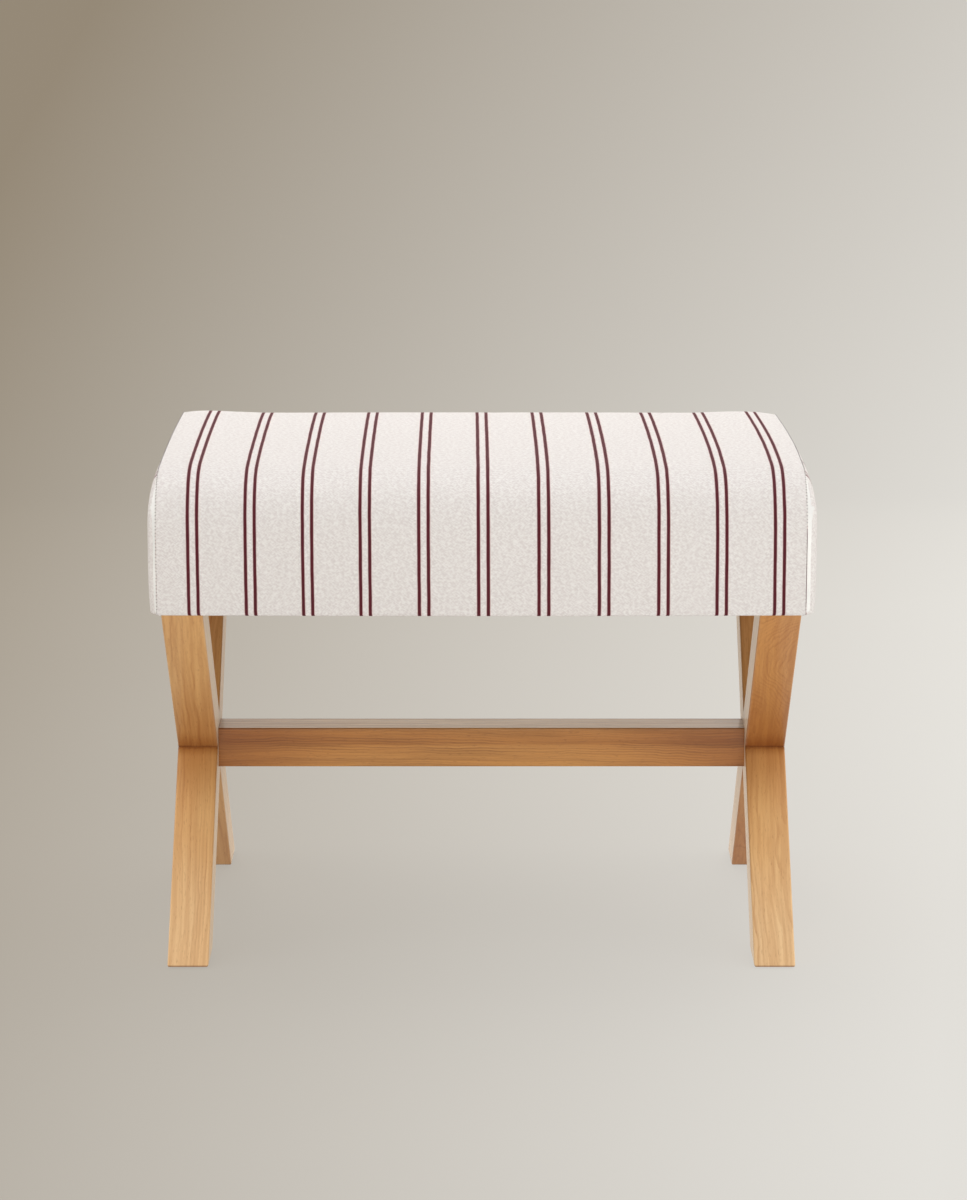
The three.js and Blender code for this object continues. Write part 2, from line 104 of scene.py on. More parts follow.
SEAT_BOLT_HEAD_HEIGHT = 4 * MM
SEAT_BOLT_SPACING = 160 * MM
SEAT_BOLT_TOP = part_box("left_front_seat_bolt")[1].z
WASHER_DIAMETER = 16 * MM
WASHER_THICKNESS = 1.5 * MM
HEX_SHARE = 0.46
BAR_BOTTOM = ARM_TOP - BAR_THICKNESS
BAR_LENGTH = FRAME_DEPTH - 2 * BAR_END_INSET

# The seat's form
COVER_LOW, COVER_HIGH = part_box("seat_cover_main")
HALF_DEPTH = COVER_HIGH.y
SEAT_TOP = COVER_HIGH.z
CLOTH_BOTTOM = COVER_LOW.z
SIDE_SWELL = 6 * MM
SEAM_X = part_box("seat_cover_right_side")[1].x - SIDE_SWELL
EDGE_ROUNDING = 60 * MM
ROUNDING_POWER = 2.3
TOP_CROWN = 2.5 * MM
CLOTH = 1.1 * MM
GRID_STEP = 7 * MM

# The hem turns under in a small hanging fold, a little lower in the middle than at the ends:
# how far in from the edge and how far below the hem's level
HEM_WIDTH = 25 * MM
HEM_START = 0.9 * MM
HEM_FOLD = (
    (0.25 * MM, 0.7 * MM),
    (0.9 * MM, 1.4 * MM),
    (1.9 * MM, 1.5 * MM),
    (3.2 * MM, 0.7 * MM),
    (5 * MM, 0.0),
)
HEM_SAG = 0.7 * MM

# The stuffed form: full beside the seams, lower in the middle, with sides that swell out at once
EDGE_FULLNESS = 1.7 * MM
EDGE_REACH = 18 * MM
MIDDLE_DROP = 2.9 * MM
DROP_REACH = 90 * MM
SIDE_FULLNESS = {-1: 7.4 * MM, 1: 9.2 * MM}
SIDE_REACH = 11 * MM
SIDE_TOP_REACH = 34 * MM
SIDE_FOOT_SHARE = 0.14
SIDE_FOOT_REACH = 8 * MM
SIDE_BACK_LOSS = 0.42
BACK_TAPER = 3.6 * MM
BACK_DROP = 2.4 * MM
BACK_DROP_REACH = 50 * MM

# How far the firm padding lets the stuffed cloth move out from its cut form
MAIN_CAP = 2.2 * MM
SIDE_CAP = 1.2 * MM

# The seam: each panel's edge rolls over and goes in beside the other, as (along, deep) shares
SEAM_FOLD_SHARES = ((3.2, 0.0), (1.6, 0.06), (0.85, 0.28), (0.72, 0.6), (1.1, 1.02), (1.7, 1.62))
SEAM_FOLD = 1 * MM
SEAM_PUCKER = 0.28 * MM
STITCH_PITCH = 3.2 * MM
STITCH_LENGTH = 1.8 * MM
STITCH_DIAMETER = 0.5 * MM
STITCH_DEPTH = 0.62 * MM

# Padding under the cloth
WADDING_GAP = 0.4 * MM
WADDING_THICKNESS = 2.8 * MM
CORE_INSET = 6.8 * MM
FOAM_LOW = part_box("seat_foam")[0]

# The cloth is drawn a little unevenly across, and lies slightly askew from front to back
CLOTH_PULL = 1.9 * MM
CLOTH_PULL_LENGTH = 464 * MM
CLOTH_PULL_PLACE = 74 * MM
CLOTH_SKEW = 3 * MM

# The stripes
STRIPE_SPACING = 52.735 * MM
STRIPE_OFFSET = 1.7 * MM
SIDE_STRIPE_OFFSET = 2.5 * MM
STRIPE_GAP = 8.5 * MM
STRIPE_WIDTH = 2.95 * MM

# Dust cover and its staples
DUST_LOW, DUST_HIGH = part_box("dust_cover")
DUST_SAG = 2.2 * MM
STAPLE_WIDTH = 10 * MM
STAPLE_WIRE = 0.7 * MM
STAPLE_INSET = 7 * MM
STAPLE_SPACING = 46 * MM

# Studio: the dim and pale ends of the backdrop's painted light, graded across it, the share of them that
# glows and the share lit by the lamps
STAGE_DIM = (0.30, 0.25, 0.185)
STAGE_PALE = (0.75, 0.732, 0.692)
STAGE_GLOW = 0.85
STAGE_PAINT = 0.13

# Camera: the photograph's frame and the place that fits its edges
PHOTO_HEIGHT_PIXELS = 1200
FOCAL_PIXELS = 3892
SENSOR_MM = 36
CAMERA_PLACE = (0.0020, -3.6334, 1.1010)
CAMERA_PITCH_DEG = 12.35


def deselect():
    bpy.ops.object.select_all(action="DESELECT")


def pick(piece):
    """Makes a piece the only selected object and the active one."""
    deselect()
    piece.select_set(True)
    bpy.context.view_layer.objects.active = piece
    return piece


def settle(piece):
    """Puts a piece's place, turn and size into its mesh."""
    pick(piece)
    bpy.ops.object.transform_apply(location=True, rotation=True, scale=True)
    return piece


def cube(low, high):
    """A box between two corners."""
    low, high = Vector(low), Vector(high)
    bpy.ops.mesh.primitive_cube_add(size=1, location=(low + high) / 2)
    piece = bpy.context.object
    piece.scale = high - low
    return settle(piece)


def cylinder(diameter, low, high, sides=24, place=(0, 0), top_diameter=None):
    """A cylinder or cone about Z between two heights, at a place in X and Y."""
    middle = (*place, (low + high) / 2)
    top = diameter if top_diameter is None else top_diameter
    bpy.ops.mesh.primitive_cone_add(
        vertices=sides, radius1=diameter / 2, radius2=top / 2, depth=high - low, location=middle
    )
    return settle(bpy.context.object)


def along_x(piece, sign=1):
    """Turns a piece made about Z so that its top points along +X or -X."""
    piece.rotation_euler.y = sign * math.pi / 2
    return settle(piece)


def moved(piece, x=0, y=0, z=0):
    piece.location = (x, y, z)
    return settle(piece)


def edit(piece):
    """Enters edit mode with nothing selected and returns the mesh."""
    pick(piece)
    bpy.ops.object.mode_set(mode="EDIT")
    bpy.ops.mesh.select_all(action="DESELECT")
    return bmesh.from_edit_mesh(piece.data)


def leave_edit():
    bpy.ops.object.mode_set(mode="OBJECT")


def choose_edges(mesh, wanted):
    """Selects the edges that a test picks."""
    for edge in mesh.edges:
        edge.select_set(bool(wanted(edge)))
    mesh.select_flush_mode()


def choose_faces(mesh, wanted):
    """Selects the faces that a test picks."""
    for face in mesh.faces:
        face.select_set(bool(wanted(face)))


def bevel_edges(piece, width, segments, wanted=lambda edge: True):
    mesh = edit(piece)
    bpy.ops.mesh.select_mode(type="EDGE")
    choose_edges(mesh, wanted)
    bpy.ops.mesh.bevel(offset=width, segments=segments, affect="EDGES")
    leave_edit()
    return piece


def use_modifier(piece, kind, **settings):
    """Adds a modifier, sets it and applies it."""
    pick(piece)
    modifier = piece.modifiers.new(kind.lower(), kind)
    for name, value in settings.items():
        setattr(modifier, name, value)
    bpy.ops.object.modifier_apply(modifier=modifier.name)
    return piece


def cut(piece, *cutters):
    """Cuts each cutter out of a piece and removes the cutter."""
    for cutter in cutters:
        use_modifier(piece, "BOOLEAN", operation="DIFFERENCE", solver="EXACT", object=cutter)
        bpy.data.objects.remove(cutter)
    return piece


def joined(pieces):
    """Several objects as one."""
    deselect()
    for piece in pieces:
        piece.select_set(True)
    bpy.context.view_layer.objects.active = pieces[0]
    bpy.ops.object.join()
    return pieces[0]


def copy_of(piece, x=0, y=0, z=0):
    """A copy with its own mesh, moved."""
    twin = piece.copy()
    twin.data = piece.data.copy()
    bpy.context.scene.collection.objects.link(twin)
    twin.data.transform(Matrix.Translation((x, y, z)))
    return twin


def smooth(piece, degrees=35, weighted=True):
    """Smooth shading on rounded edges, with flat faces kept flat."""
    pick(piece)
    bpy.ops.object.shade_smooth_by_angle(angle=math.radians(degrees))
    if weighted:
        use_modifier(piece, "WEIGHTED_NORMAL", keep_sharp=True, weight=80)
    return piece


def mount(piece, name, material, slot, *nodes):
    """Names and dresses a finished piece, and lets it stand for its nodes of the frame."""
    piece.name = name
    piece.data.name = name
    piece.data.materials.clear()
    piece.data.materials.append(material)
    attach(piece, "root")
    if nodes:
        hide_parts(*nodes)
    return piece


def mesh_piece(points, faces):
    """An object from points and faces."""
    mesh = bpy.data.meshes.new("form")
    mesh.from_pydata([tuple(p) for p in points], [], faces)
    piece = bpy.data.objects.new("form", mesh)
    bpy.context.scene.collection.objects.link(piece)
    return piece


# Shader building blocks

def put(tree, kind, sockets=None, **settings):
    """A shader node with its settings, and its inputs linked or set."""
    node = tree.nodes.new(kind)
    for name, value in settings.items():
        setattr(node, name, value)
    for key, value in (sockets or {}).items():
        if isinstance(value, bpy.types.NodeSocket):
            tree.links.new(value, node.inputs[key])
        else:
            node.inputs[key].default_value = value
    return node


def calc(tree, operation, *values, clamp=False):
    sockets = dict(enumerate(values))
    return put(tree, "ShaderNodeMath", sockets, operation=operation, use_clamp=clamp).outputs[0]


def mixed(tree, share, first, second, kind="MIX"):
    """Two colours mixed by a share."""
    node = put(tree, "ShaderNodeMix", data_type="RGBA", blend_type=kind)
    for socket, value in zip((node.inputs[0], node.inputs[6], node.inputs[7]), (share, first, second)):
        if isinstance(value, bpy.types.NodeSocket):
            tree.links.new(value, socket)
        elif isinstance(value, tuple):
            socket.default_value = (*value, 1)
        else:
            socket.default_value = value
    return node.outputs[2]


def ranged(tree, value, low, high, to_low=0.0, to_high=1.0, kind="SMOOTHSTEP"):
    sockets = {"Value": value, "From Min": low, "From Max": high, "To Min": to_low, "To Max": to_high}
    return put(tree, "ShaderNodeMapRange", sockets, interpolation_type=kind).outputs[0]


def stretched(tree, vector, scale):
    sockets = {0: vector, 1: scale}
    return put(tree, "ShaderNodeVectorMath", sockets, operation="MULTIPLY").outputs[0]


def grained(tree, vector, scale, detail=2.0, roughness=0.5):
    """A noise value from 0 to 1."""
    sockets = {"Vector": vector, "Scale": scale, "Detail": detail, "Roughness": roughness}
    return put(tree, "ShaderNodeTexNoise", sockets).outputs[0]


def effect(name, inputs, outputs):
    """An empty node group with named sockets, with its input and output nodes."""
    group = bpy.data.node_groups.new(name, "ShaderNodeTree")
    for label, (kind, value) in inputs.items():
        socket = group.interface.new_socket(name=label, in_out="INPUT", socket_type=kind)
        if value is not None:
            socket.default_value = value
    for label in outputs:
        group.interface.new_socket(name=label, in_out="OUTPUT", socket_type="NodeSocketFloat")
    return group, group.nodes.new("NodeGroupInput").outputs, group.nodes.new("NodeGroupOutput").inputs


def wood_figure():
    """Growth rings about a wandering pith, curls, fibre streaks and flecks. The grain runs along Z."""
    group, given, out = effect(
        "wood_figure",
        {
            "Vector": ("NodeSocketVector", None),
            "Ring Width": ("NodeSocketFloat", 0.004),
            "Wander": ("NodeSocketFloat", 0.006),
            "Curl": ("NodeSocketFloat", 0.0006),
            "Swirl": ("NodeSocketFloat", 0.0),
            "Swirl Place": ("NodeSocketVector", None),
            "Fibre Scale": ("NodeSocketFloat", 420.0),
        },
        ("Rings", "Streaks", "Flecks", "Blush"),
    )
    vector = given["Vector"]
    shifts = [0.0, 0.0]
    for scale, length, share in ((11.0, 0.3, 1.0), (42.0, 0.24, 0.16)):
        sockets = {"Vector": stretched(group, vector, (1, 1, length)), "Scale": scale}
        sway = put(group, "ShaderNodeTexNoise", sockets).outputs["Color"]
        parts = put(group, "ShaderNodeSeparateXYZ", {0: sway}).outputs
        reach = calc(group, "MULTIPLY", given["Wander"], share)
        centred = [calc(group, "SUBTRACT", part, 0.5) for part in parts[:2]]
        moves = [calc(group, "MULTIPLY", part, reach) for part in centred]
        shifts = [calc(group, "ADD", shift, move) for shift, move in zip(shifts, moves)]
    place = put(group, "ShaderNodeSeparateXYZ", {0: vector}).outputs
    across = [calc(group, "ADD", p, s) for p, s in zip(place[:2], shifts)]
    bent = put(group, "ShaderNodeCombineXYZ", {0: across[0], 1: across[1], 2: place[2]}).outputs[0]
    squares = [calc(group, "POWER", calc(group, "ABSOLUTE", a), 2.0) for a in across]
    radius = calc(group, "SQRT", calc(group, "ADD", *squares))
    curls = grained(group, stretched(group, vector, (1, 1, 0.8)), 46.0, 1.0, 0.5)
    curls = calc(group, "MULTIPLY", calc(group, "SUBTRACT", curls, 0.5), given["Curl"])
    radius = calc(group, "ADD", radius, calc(group, "MULTIPLY", curls, 2.0))
    offset = {0: vector, 1: given["Swirl Place"]}
    offset = put(group, "ShaderNodeVectorMath", offset, operation="SUBTRACT").outputs[0]
    offset = {0: stretched(group, offset, (1, 1, SWIRL_SQUEEZE))}
    away = put(group, "ShaderNodeVectorMath", offset, operation="LENGTH").outputs["Value"]
    swirl = ranged(group, away, 0.0, SWIRL_REACH, 1.0, 0.0, "SMOOTHERSTEP")
    radius = calc(group, "MULTIPLY_ADD", swirl, given["Swirl"], radius)
    years = calc(group, "DIVIDE", radius, given["Ring Width"])
    uneven = grained(group, stretched(group, bent, (1, 1, 0.06)), 110.0, 3.0, 0.6)
    years = calc(group, "ADD", years, calc(group, "MULTIPLY", uneven, 1.7))
    part = calc(group, "FRACT", years)
    fall = ranged(group, part, 0.88, 1.0, 1.0, 0.0)
    late = calc(group, "MULTIPLY", ranged(group, part, 0.3, 0.86), fall)
    whole = {"W": calc(group, "FLOOR", years)}
    year = put(group, "ShaderNodeTexWhiteNoise", whole, noise_dimensions="1D").outputs["Value"]
    strength = calc(group, "MULTIPLY_ADD", year, 0.8, 0.2)
    patches = grained(group, stretched(group, bent, (1, 1, 0.1)), 90.0, 3.0)
    faded = ranged(group, patches, 0.34, 0.62, 0.15, 1.0)
    rings = calc(group, "MULTIPLY", calc(group, "MULTIPLY", late, strength), faded)
    group.links.new(rings, out["Rings"])
    fibres = stretched(group, bent, (1, 1, 0.022))
    fine = grained(group, fibres, given["Fibre Scale"], 4.0, 0.65)
    streaks = calc(group, "ADD", fine, grained(group, fibres, 190.0, 2.0))
    group.links.new(ranged(group, streaks, 0.78, 1.22), out["Streaks"])
    dashes = grained(group, stretched(group, bent, (1, 1, 0.12)), 1500.0, 0.0)
    group.links.new(ranged(group, dashes, 0.66, 0.8), out["Flecks"])
    blush = grained(group, stretched(group, vector, (1, 1, 0.25)), 20.0, 3.0)
    group.links.new(ranged(group, blush, 0.3, 0.72), out["Blush"])
    return group


def joint_shade():
    """Masks of painted shade round the crossing and on the rear parts, a dark joint line partly painted
    crease shade, and painted light and shadow at the feet.
    """
    group, given, out = effect(
        "joint_shade",
        {
            "Vector": ("NodeSocketVector", None),
            "Across": ("NodeSocketFloat", LEG_X),
            "Height": ("NodeSocketFloat", CROSSING),
            "Valley": ("NodeSocketFloat", TIP_LENGTH / 2),
            "Line": ("NodeSocketFloat", 0.0034),
            "Near": ("NodeSocketFloat", 0.03),
            "Far": ("NodeSocketFloat", 0.17),
            "Valley Shade": ("NodeSocketFloat", 0.034),
        },
        ("Stain And Crease Shade", "Shade", "Valley Shade", "Rear Shade", "Foot Light", "End"),
    )
    place = put(group, "ShaderNodeSeparateXYZ", {0: given["Vector"]}).outputs
    rise = calc(group, "SUBTRACT", place[2], given["Height"])
    ahead = calc(group, "ABSOLUTE", place[1])
    beside = calc(group, "SUBTRACT", calc(group, "ABSOLUTE", place[0]), given["Across"])
    waver = grained(group, stretched(group, given["Vector"], (1, 0, 0)), 120.0, 2.0)
    waver = calc(group, "SUBTRACT", waver, 0.5)
    line_rise = calc(group, "MULTIPLY_ADD", waver, 0.005, rise)
    front = calc(group, "SUBTRACT", ahead, given["Valley"])
    squares = [calc(group, "POWER", calc(group, "ABSOLUTE", d), 2.0) for d in (front, line_rise)]
    distance = calc(group, "SQRT", calc(group, "ADD", *squares))
    # A ragged dark line in the valley where the legs meet: partly a dark joint, partly painted crease
    # shade.
    ragged = grained(group, given["Vector"], 420.0, 3.0)
    reach = calc(group, "MULTIPLY", given["Line"], calc(group, "MULTIPLY_ADD", ragged, 1.6, 0.2))
    closeness = calc(group, "SUBTRACT", 1.0, calc(group, "DIVIDE", distance, reach))
    group.links.new(ranged(group, closeness, 0.0, 0.8), out["Stain And Crease Shade"])
    # Painted shade: darker within reach of the crossing, falling off faster below it than above.
    height = calc(group, "MULTIPLY", rise, ranged(group, rise, -0.001, 0.001, -2.6, 1.0))
    squares = [calc(group, "POWER", calc(group, "ABSOLUTE", d), 2.0) for d in (ahead, height, beside)]
    centre = calc(group, "SQRT", calc(group, "ADD", calc(group, "ADD", *squares[:2]), squares[2]))
    wide = ranged(group, centre, given["Near"], given["Far"], 1.0, 0.0)
    # Painted shade on the rear parts, where the seat shades them, more on the upper arms.
    rear = ranged(group, place[1], 0.02, 0.1)
    raised = ranged(group, rise, -0.03, 0.03, 0.5, 1.0)
    group.links.new(calc(group, "MULTIPLY", rear, raised), out["Rear Shade"])
    # Painted shade close along the valley, reaching further above it than below.
    beyond = calc(group, "MULTIPLY", distance, ranged(group, rise, -0.002, 0.002, 2.6, 1.0))
    close = ranged(group, beyond, 0.0, given["Valley Shade"], 1.0, 0.0, "SMOOTHERSTEP")
    group.links.new(wide, out["Shade"])
    group.links.new(close, out["Valley Shade"])
    # Painted shadow along the bottom edge of each foot, as under a foot raised on its glide.
    end = calc(group, "SUBTRACT", place[2], FOOT_BOTTOM)
    group.links.new(ranged(group, end, 0.0006, 0.0019, 1.0, 0.0), out["End"])
    # Painted light: the front feet paler toward the floor, as if lit from it.
    low = ranged(group, place[2], 0.0, 0.13, 1.0, 0.0)
    front = ranged(group, place[1], -0.08, 0.0, 1.0, 0.0)
    group.links.new(calc(group, "MULTIPLY", low, front), out["Foot Light"])
    return group


def twill_weave():
    """A three-end twill from a map in metres: its relief, where the weft shows, and uneven yarn."""
    group, given, out = effect(
        "twill_weave",
        {
            "Vector": ("NodeSocketVector", None),
            "Pitch": ("NodeSocketFloat", 0.00055),
        },
        ("Relief", "Weft", "Yarn", "Mottle"),
    )
    vector = given["Vector"]
    place = put(group, "ShaderNodeSeparateXYZ", {0: vector}).outputs
    wobble = grained(group, vector, 260.0, 2.0)
    wobble = calc(group, "MULTIPLY", calc(group, "SUBTRACT", wobble, 0.5), 0.0009)
    across = calc(group, "DIVIDE", calc(group, "ADD", place[0], wobble), given["Pitch"])
    along = calc(group, "DIVIDE", calc(group, "ADD", place[1], wobble), given["Pitch"])
    step = calc(group, "ADD", calc(group, "FLOOR", across), calc(group, "FLOOR", along))
    weft = calc(group, "GREATER_THAN", calc(group, "FLOORED_MODULO", step, 3.0), 1.5)
    round_warp = calc(group, "SINE", calc(group, "MULTIPLY", calc(group, "FRACT", across), math.pi))
    round_weft = calc(group, "SINE", calc(group, "MULTIPLY", calc(group, "FRACT", along), math.pi))
    warp_part = calc(group, "MULTIPLY", round_warp, calc(group, "SUBTRACT", 1.0, weft))
    weft_part = calc(group, "MULTIPLY", calc(group, "MULTIPLY", round_weft, weft), 0.7)
    group.links.new(calc(group, "ADD", warp_part, weft_part), out["Relief"])
    group.links.new(weft, out["Weft"])
    warp_tone = grained(group, stretched(group, vector, (1, 0.05, 1)), 1500.0, 2.0, 0.7)
    weft_tone = grained(group, stretched(group, vector, (0.05, 1, 1)), 1500.0, 2.0, 0.7)
    yarn = calc(group, "MULTIPLY", calc(group, "ADD", warp_tone, weft_tone), 0.5)
    group.links.new(ranged(group, yarn, 0.3, 0.7), out["Yarn"])
    slopes = []
    for degrees, scale in ((52, 1150.0), (-52, 1000.0)):
        turn = (0, 0, math.radians(degrees))
        turned = put(group, "ShaderNodeMapping", {"Vector": vector, "Rotation": turn})
        slopes.append(grained(group, stretched(group, turned.outputs[0], (1, 0.22, 1)), scale, 1.0))
    crossed = calc(group, "MULTIPLY", calc(group, "ADD", *slopes), 0.5)
    group.links.new(ranged(group, crossed, 0.42, 0.58), out["Mottle"])
    return group


def stripe_pairs():
    """Pairs of lines at an equal spacing across the map, with uneven yarn-dyed edges."""
    group, given, out = effect(
        "stripe_pairs",
        {
            "Vector": ("NodeSocketVector", None),
            "Spacing": ("NodeSocketFloat", STRIPE_SPACING),
            "Offset": ("NodeSocketFloat", STRIPE_OFFSET),
            "Gap": ("NodeSocketFloat", STRIPE_GAP),
            "Width": ("NodeSocketFloat", STRIPE_WIDTH),
            "Twist": ("NodeSocketFloat", 0.0011),
        },
        ("Line", "Fringe", "Twist"),
    )
    place = put(group, "ShaderNodeSeparateXYZ", {0: given["Vector"]}).outputs
    shifted = calc(group, "SUBTRACT", place[0], given["Offset"])
    turns = calc(group, "ADD", calc(group, "DIVIDE", shifted, given["Spacing"]), 0.5)
    share = calc(group, "SUBTRACT", calc(group, "FRACT", turns), 0.5)
    from_pair = calc(group, "ABSOLUTE", calc(group, "MULTIPLY", share, given["Spacing"]))
    from_line = calc(group, "SUBTRACT", from_pair, calc(group, "MULTIPLY", given["Gap"], 0.5))
    slow = grained(group, stretched(group, given["Vector"], (1, 0.4, 1)), 90.0, 2.0)
    drift = calc(group, "MULTIPLY", calc(group, "SUBTRACT", slow, 0.5), 0.0006)
    from_line = calc(group, "ABSOLUTE", calc(group, "ADD", from_line, drift))
    spun = calc(group, "ADD", place[1], calc(group, "MULTIPLY", place[0], 0.6))
    turn = calc(group, "DIVIDE", spun, given["Twist"])
    twist = calc(group, "SINE", calc(group, "MULTIPLY", turn, 2 * math.pi))
    half = calc(group, "MULTIPLY_ADD", twist, 0.00012, calc(group, "MULTIPLY", given["Width"], 0.5))
    edge = calc(group, "SUBTRACT", half, from_line)
    group.links.new(ranged(group, edge, -0.0001, 0.00014), out["Line"])
    group.links.new(ranged(group, edge, -0.0009, 0.0), out["Fringe"])
    group.links.new(calc(group, "MULTIPLY_ADD", twist, 0.5, 0.5), out["Twist"])
    return group


def grit():
    """Fine grain and broad patches, for plastic, paint, foam and fibre."""
    group, given, out = effect(
        "grit",
        {"Vector": ("NodeSocketVector", None), "Scale": ("NodeSocketFloat", 900.0)},
        ("Grain", "Patch"),
    )
    group.links.new(grained(group, given["Vector"], given["Scale"], 3.0, 0.6), out["Grain"])
    group.links.new(grained(group, given["Vector"], 24.0, 3.0), out["Patch"])
    return group


KNOT_PLACE = (0.278, -0.125, 0.3)
SWIRL_REACH = 0.08
SWIRL_SQUEEZE = 0.5
FIBRE_HAZE = (1.0, 0.84, 0.64)
# Multipliers for the wood round the crossing: painted shade near the crossing, along the valley and on the
# rear parts, a dark joint line that is partly painted crease shade, and a painted shadow at each foot's
# bottom edge.
JOINT_STAIN_AND_SHADE_TONES = {
    "Shade": (0.74, 0.62, 0.48),
    "Valley Shade": (0.78, 0.67, 0.52),
    "Rear Shade": (0.76, 0.6, 0.48),
    "Stain And Crease Shade": (0.72, 0.62, 0.54),
    "End": (0.45, 0.36, 0.3),
}
LEG_TONES = ((0.73, 0.43, 0.18), (0.40, 0.145, 0.035), (0.26, 0.085, 0.02))
WOOD_FIGURE = wood_figure()
JOINT_SHADE = joint_shade()
TWILL_WEAVE = twill_weave()
STRIPE_PAIRS = stripe_pairs()
GRIT = grit()


def finish(name):
    """An empty material with its shader."""
    material = bpy.data.materials.new(name)
    material.use_nodes = True
    tree = material.node_tree
    return material, tree, tree.nodes["Principled BSDF"]


def use_effect(tree, group, sockets):
    node = put(tree, "ShaderNodeGroup", node_tree=group)
    for key, value in sockets.items():
        if isinstance(value, bpy.types.NodeSocket):
            tree.links.new(value, node.inputs[key])
        else:
            node.inputs[key].default_value = value
    return node.outputs


def relief(tree, shader, height, distance, strength=1.0):
    sockets = {"Height": height, "Distance": distance, "Strength": strength}
    tree.links.new(put(tree, "ShaderNodeBump", sockets).outputs[0], shader.inputs["Normal"])


def wood(name, turn=(0, 0, 0), pith=(0.05, 0.03, 0), ring=0.0042, wander=0.012, curl=0.0006, **look):
    """Wood whose grain runs along its own Z once the object's place is turned by turn."""
    pale, deep, fleck = look.get("tones", LEG_TONES)
    lacquer_and_shade, contrast = look.get("lacquer_and_shade", True), look.get("contrast", 1.0)
    material, tree, shader = finish(name)
    place = put(tree, "ShaderNodeTexCoord").outputs["Object"]
    mapping = put(tree, "ShaderNodeMapping", {"Vector": place, "Rotation": turn}).outputs[0]
    shifted = put(tree, "ShaderNodeVectorMath", {0: mapping, 1: pith}, operation="ADD").outputs[0]
    sockets = {"Vector": shifted, "Ring Width": ring, "Wander": wander, "Curl": curl}
    if "swirl" in look:
        sockets["Swirl"], sockets["Swirl Place"] = look["swirl"]
    figure = use_effect(tree, WOOD_FIGURE, sockets)
    warm = tuple(c * s for c, s in zip(pale, (0.97, 0.84, 0.7)))
    colour = mixed(tree, calc(tree, "MULTIPLY", figure["Blush"], 0.5), pale, warm)
    colour = mixed(tree, calc(tree, "MULTIPLY", figure["Rings"], 0.45 * contrast), colour, deep)
    colour = mixed(tree, calc(tree, "MULTIPLY", figure["Streaks"], 0.3 * contrast), colour, deep)
    colour = mixed(tree, calc(tree, "MULTIPLY", figure["Flecks"], 0.25), colour, fleck)
    if lacquer_and_shade:
        # Painted light and shade over lacquered wood: painted shade round the crossing and on the rear
        # parts, painted light on the front feet, a painted shadow at the feet's bottom edges and a dark
        # joint line that is partly painted crease shade.
        joint = use_effect(tree, JOINT_SHADE, {"Vector": place})
        painted_foot_light = mixed(tree, 1.0, colour, (1.16, 1.37, 1.8), "MULTIPLY")
        colour = mixed(tree, calc(tree, "MULTIPLY", joint["Foot Light"], 0.8), colour, painted_foot_light)
        for part, tone in JOINT_STAIN_AND_SHADE_TONES.items():
            darker = mixed(tree, 1.0, colour, tone, "MULTIPLY")
            colour = mixed(tree, joint[part], colour, darker)
        shader.inputs["Sheen Weight"].default_value = 0.9
        shader.inputs["Sheen Roughness"].default_value = 0.22
        shader.inputs["Sheen Tint"].default_value = (*FIBRE_HAZE, 1)
        rough = ranged(tree, figure["Streaks"], 0.0, 1.0, 0.34, 0.46, "LINEAR")
        shader.inputs["Coat Weight"].default_value = 0.6
        shader.inputs["Coat IOR"].default_value = 1.4
        shader.inputs["Coat Roughness"].default_value = 0.14
        shader.inputs["Specular IOR Level"].default_value = 0.3
    else:
        rough = ranged(tree, figure["Streaks"], 0.0, 1.0, 0.68, 0.85, "LINEAR")
    tree.links.new(colour, shader.inputs["Base Color"])
    tree.links.new(rough, shader.inputs["Roughness"])
    height = calc(tree, "ADD", figure["Streaks"], calc(tree, "MULTIPLY", figure["Flecks"], -0.8))
    relief(tree, shader, height, 0.00004 if lacquer_and_shade else 0.00012)
    return material


def striped_cloth(name, offset=STRIPE_OFFSET):
    """Off-white twill with pairs of dark red stripes, on the piece's own map in metres."""
    material, tree, shader = finish(name)
    place = put(tree, "ShaderNodeUVMap", uv_map="weave").outputs[0]
    weave = use_effect(tree, TWILL_WEAVE, {"Vector": place})
    stripe = use_effect(tree, STRIPE_PAIRS, {"Vector": place, "Offset": offset})
    cream, shade, blush = (0.885, 0.863, 0.843), (0.68, 0.65, 0.635), (0.65, 0.59, 0.58)
    colour = mixed(tree, calc(tree, "MULTIPLY", weave["Yarn"], 0.4), cream, shade)
    colour = mixed(tree, calc(tree, "MULTIPLY", weave["Mottle"], 0.62), colour, blush)
    colour = mixed(tree, calc(tree, "MULTIPLY", weave["Weft"], 0.12), colour, shade)
    red, rose, pink = (0.06, 0.0062, 0.0115), (0.2, 0.028, 0.042), (0.66, 0.22, 0.25)
    dyed = mixed(tree, calc(tree, "MULTIPLY", weave["Weft"], 0.4), red, rose)
    dyed = mixed(tree, calc(tree, "MULTIPLY", stripe["Twist"], 0.22), dyed, rose)
    colour = mixed(tree, calc(tree, "MULTIPLY", stripe["Fringe"], 0.45), colour, pink)
    colour = mixed(tree, stripe["Line"], colour, dyed)
    tree.links.new(colour, shader.inputs["Base Color"])
    rough = ranged(tree, weave["Yarn"], 0.0, 1.0, 0.86, 0.97, "LINEAR")
    tree.links.new(rough, shader.inputs["Roughness"])
    shader.inputs["Specular IOR Level"].default_value = 0.25
    shader.inputs["Sheen Weight"].default_value = 0.06
    shader.inputs["Sheen Roughness"].default_value = 0.45
    height = calc(tree, "MULTIPLY_ADD", weave["Yarn"], 0.5, weave["Relief"])
    height = calc(tree, "ADD", height, calc(tree, "MULTIPLY", stripe["Line"], 0.4))
    relief(tree, shader, height, 0.00016)
    return material


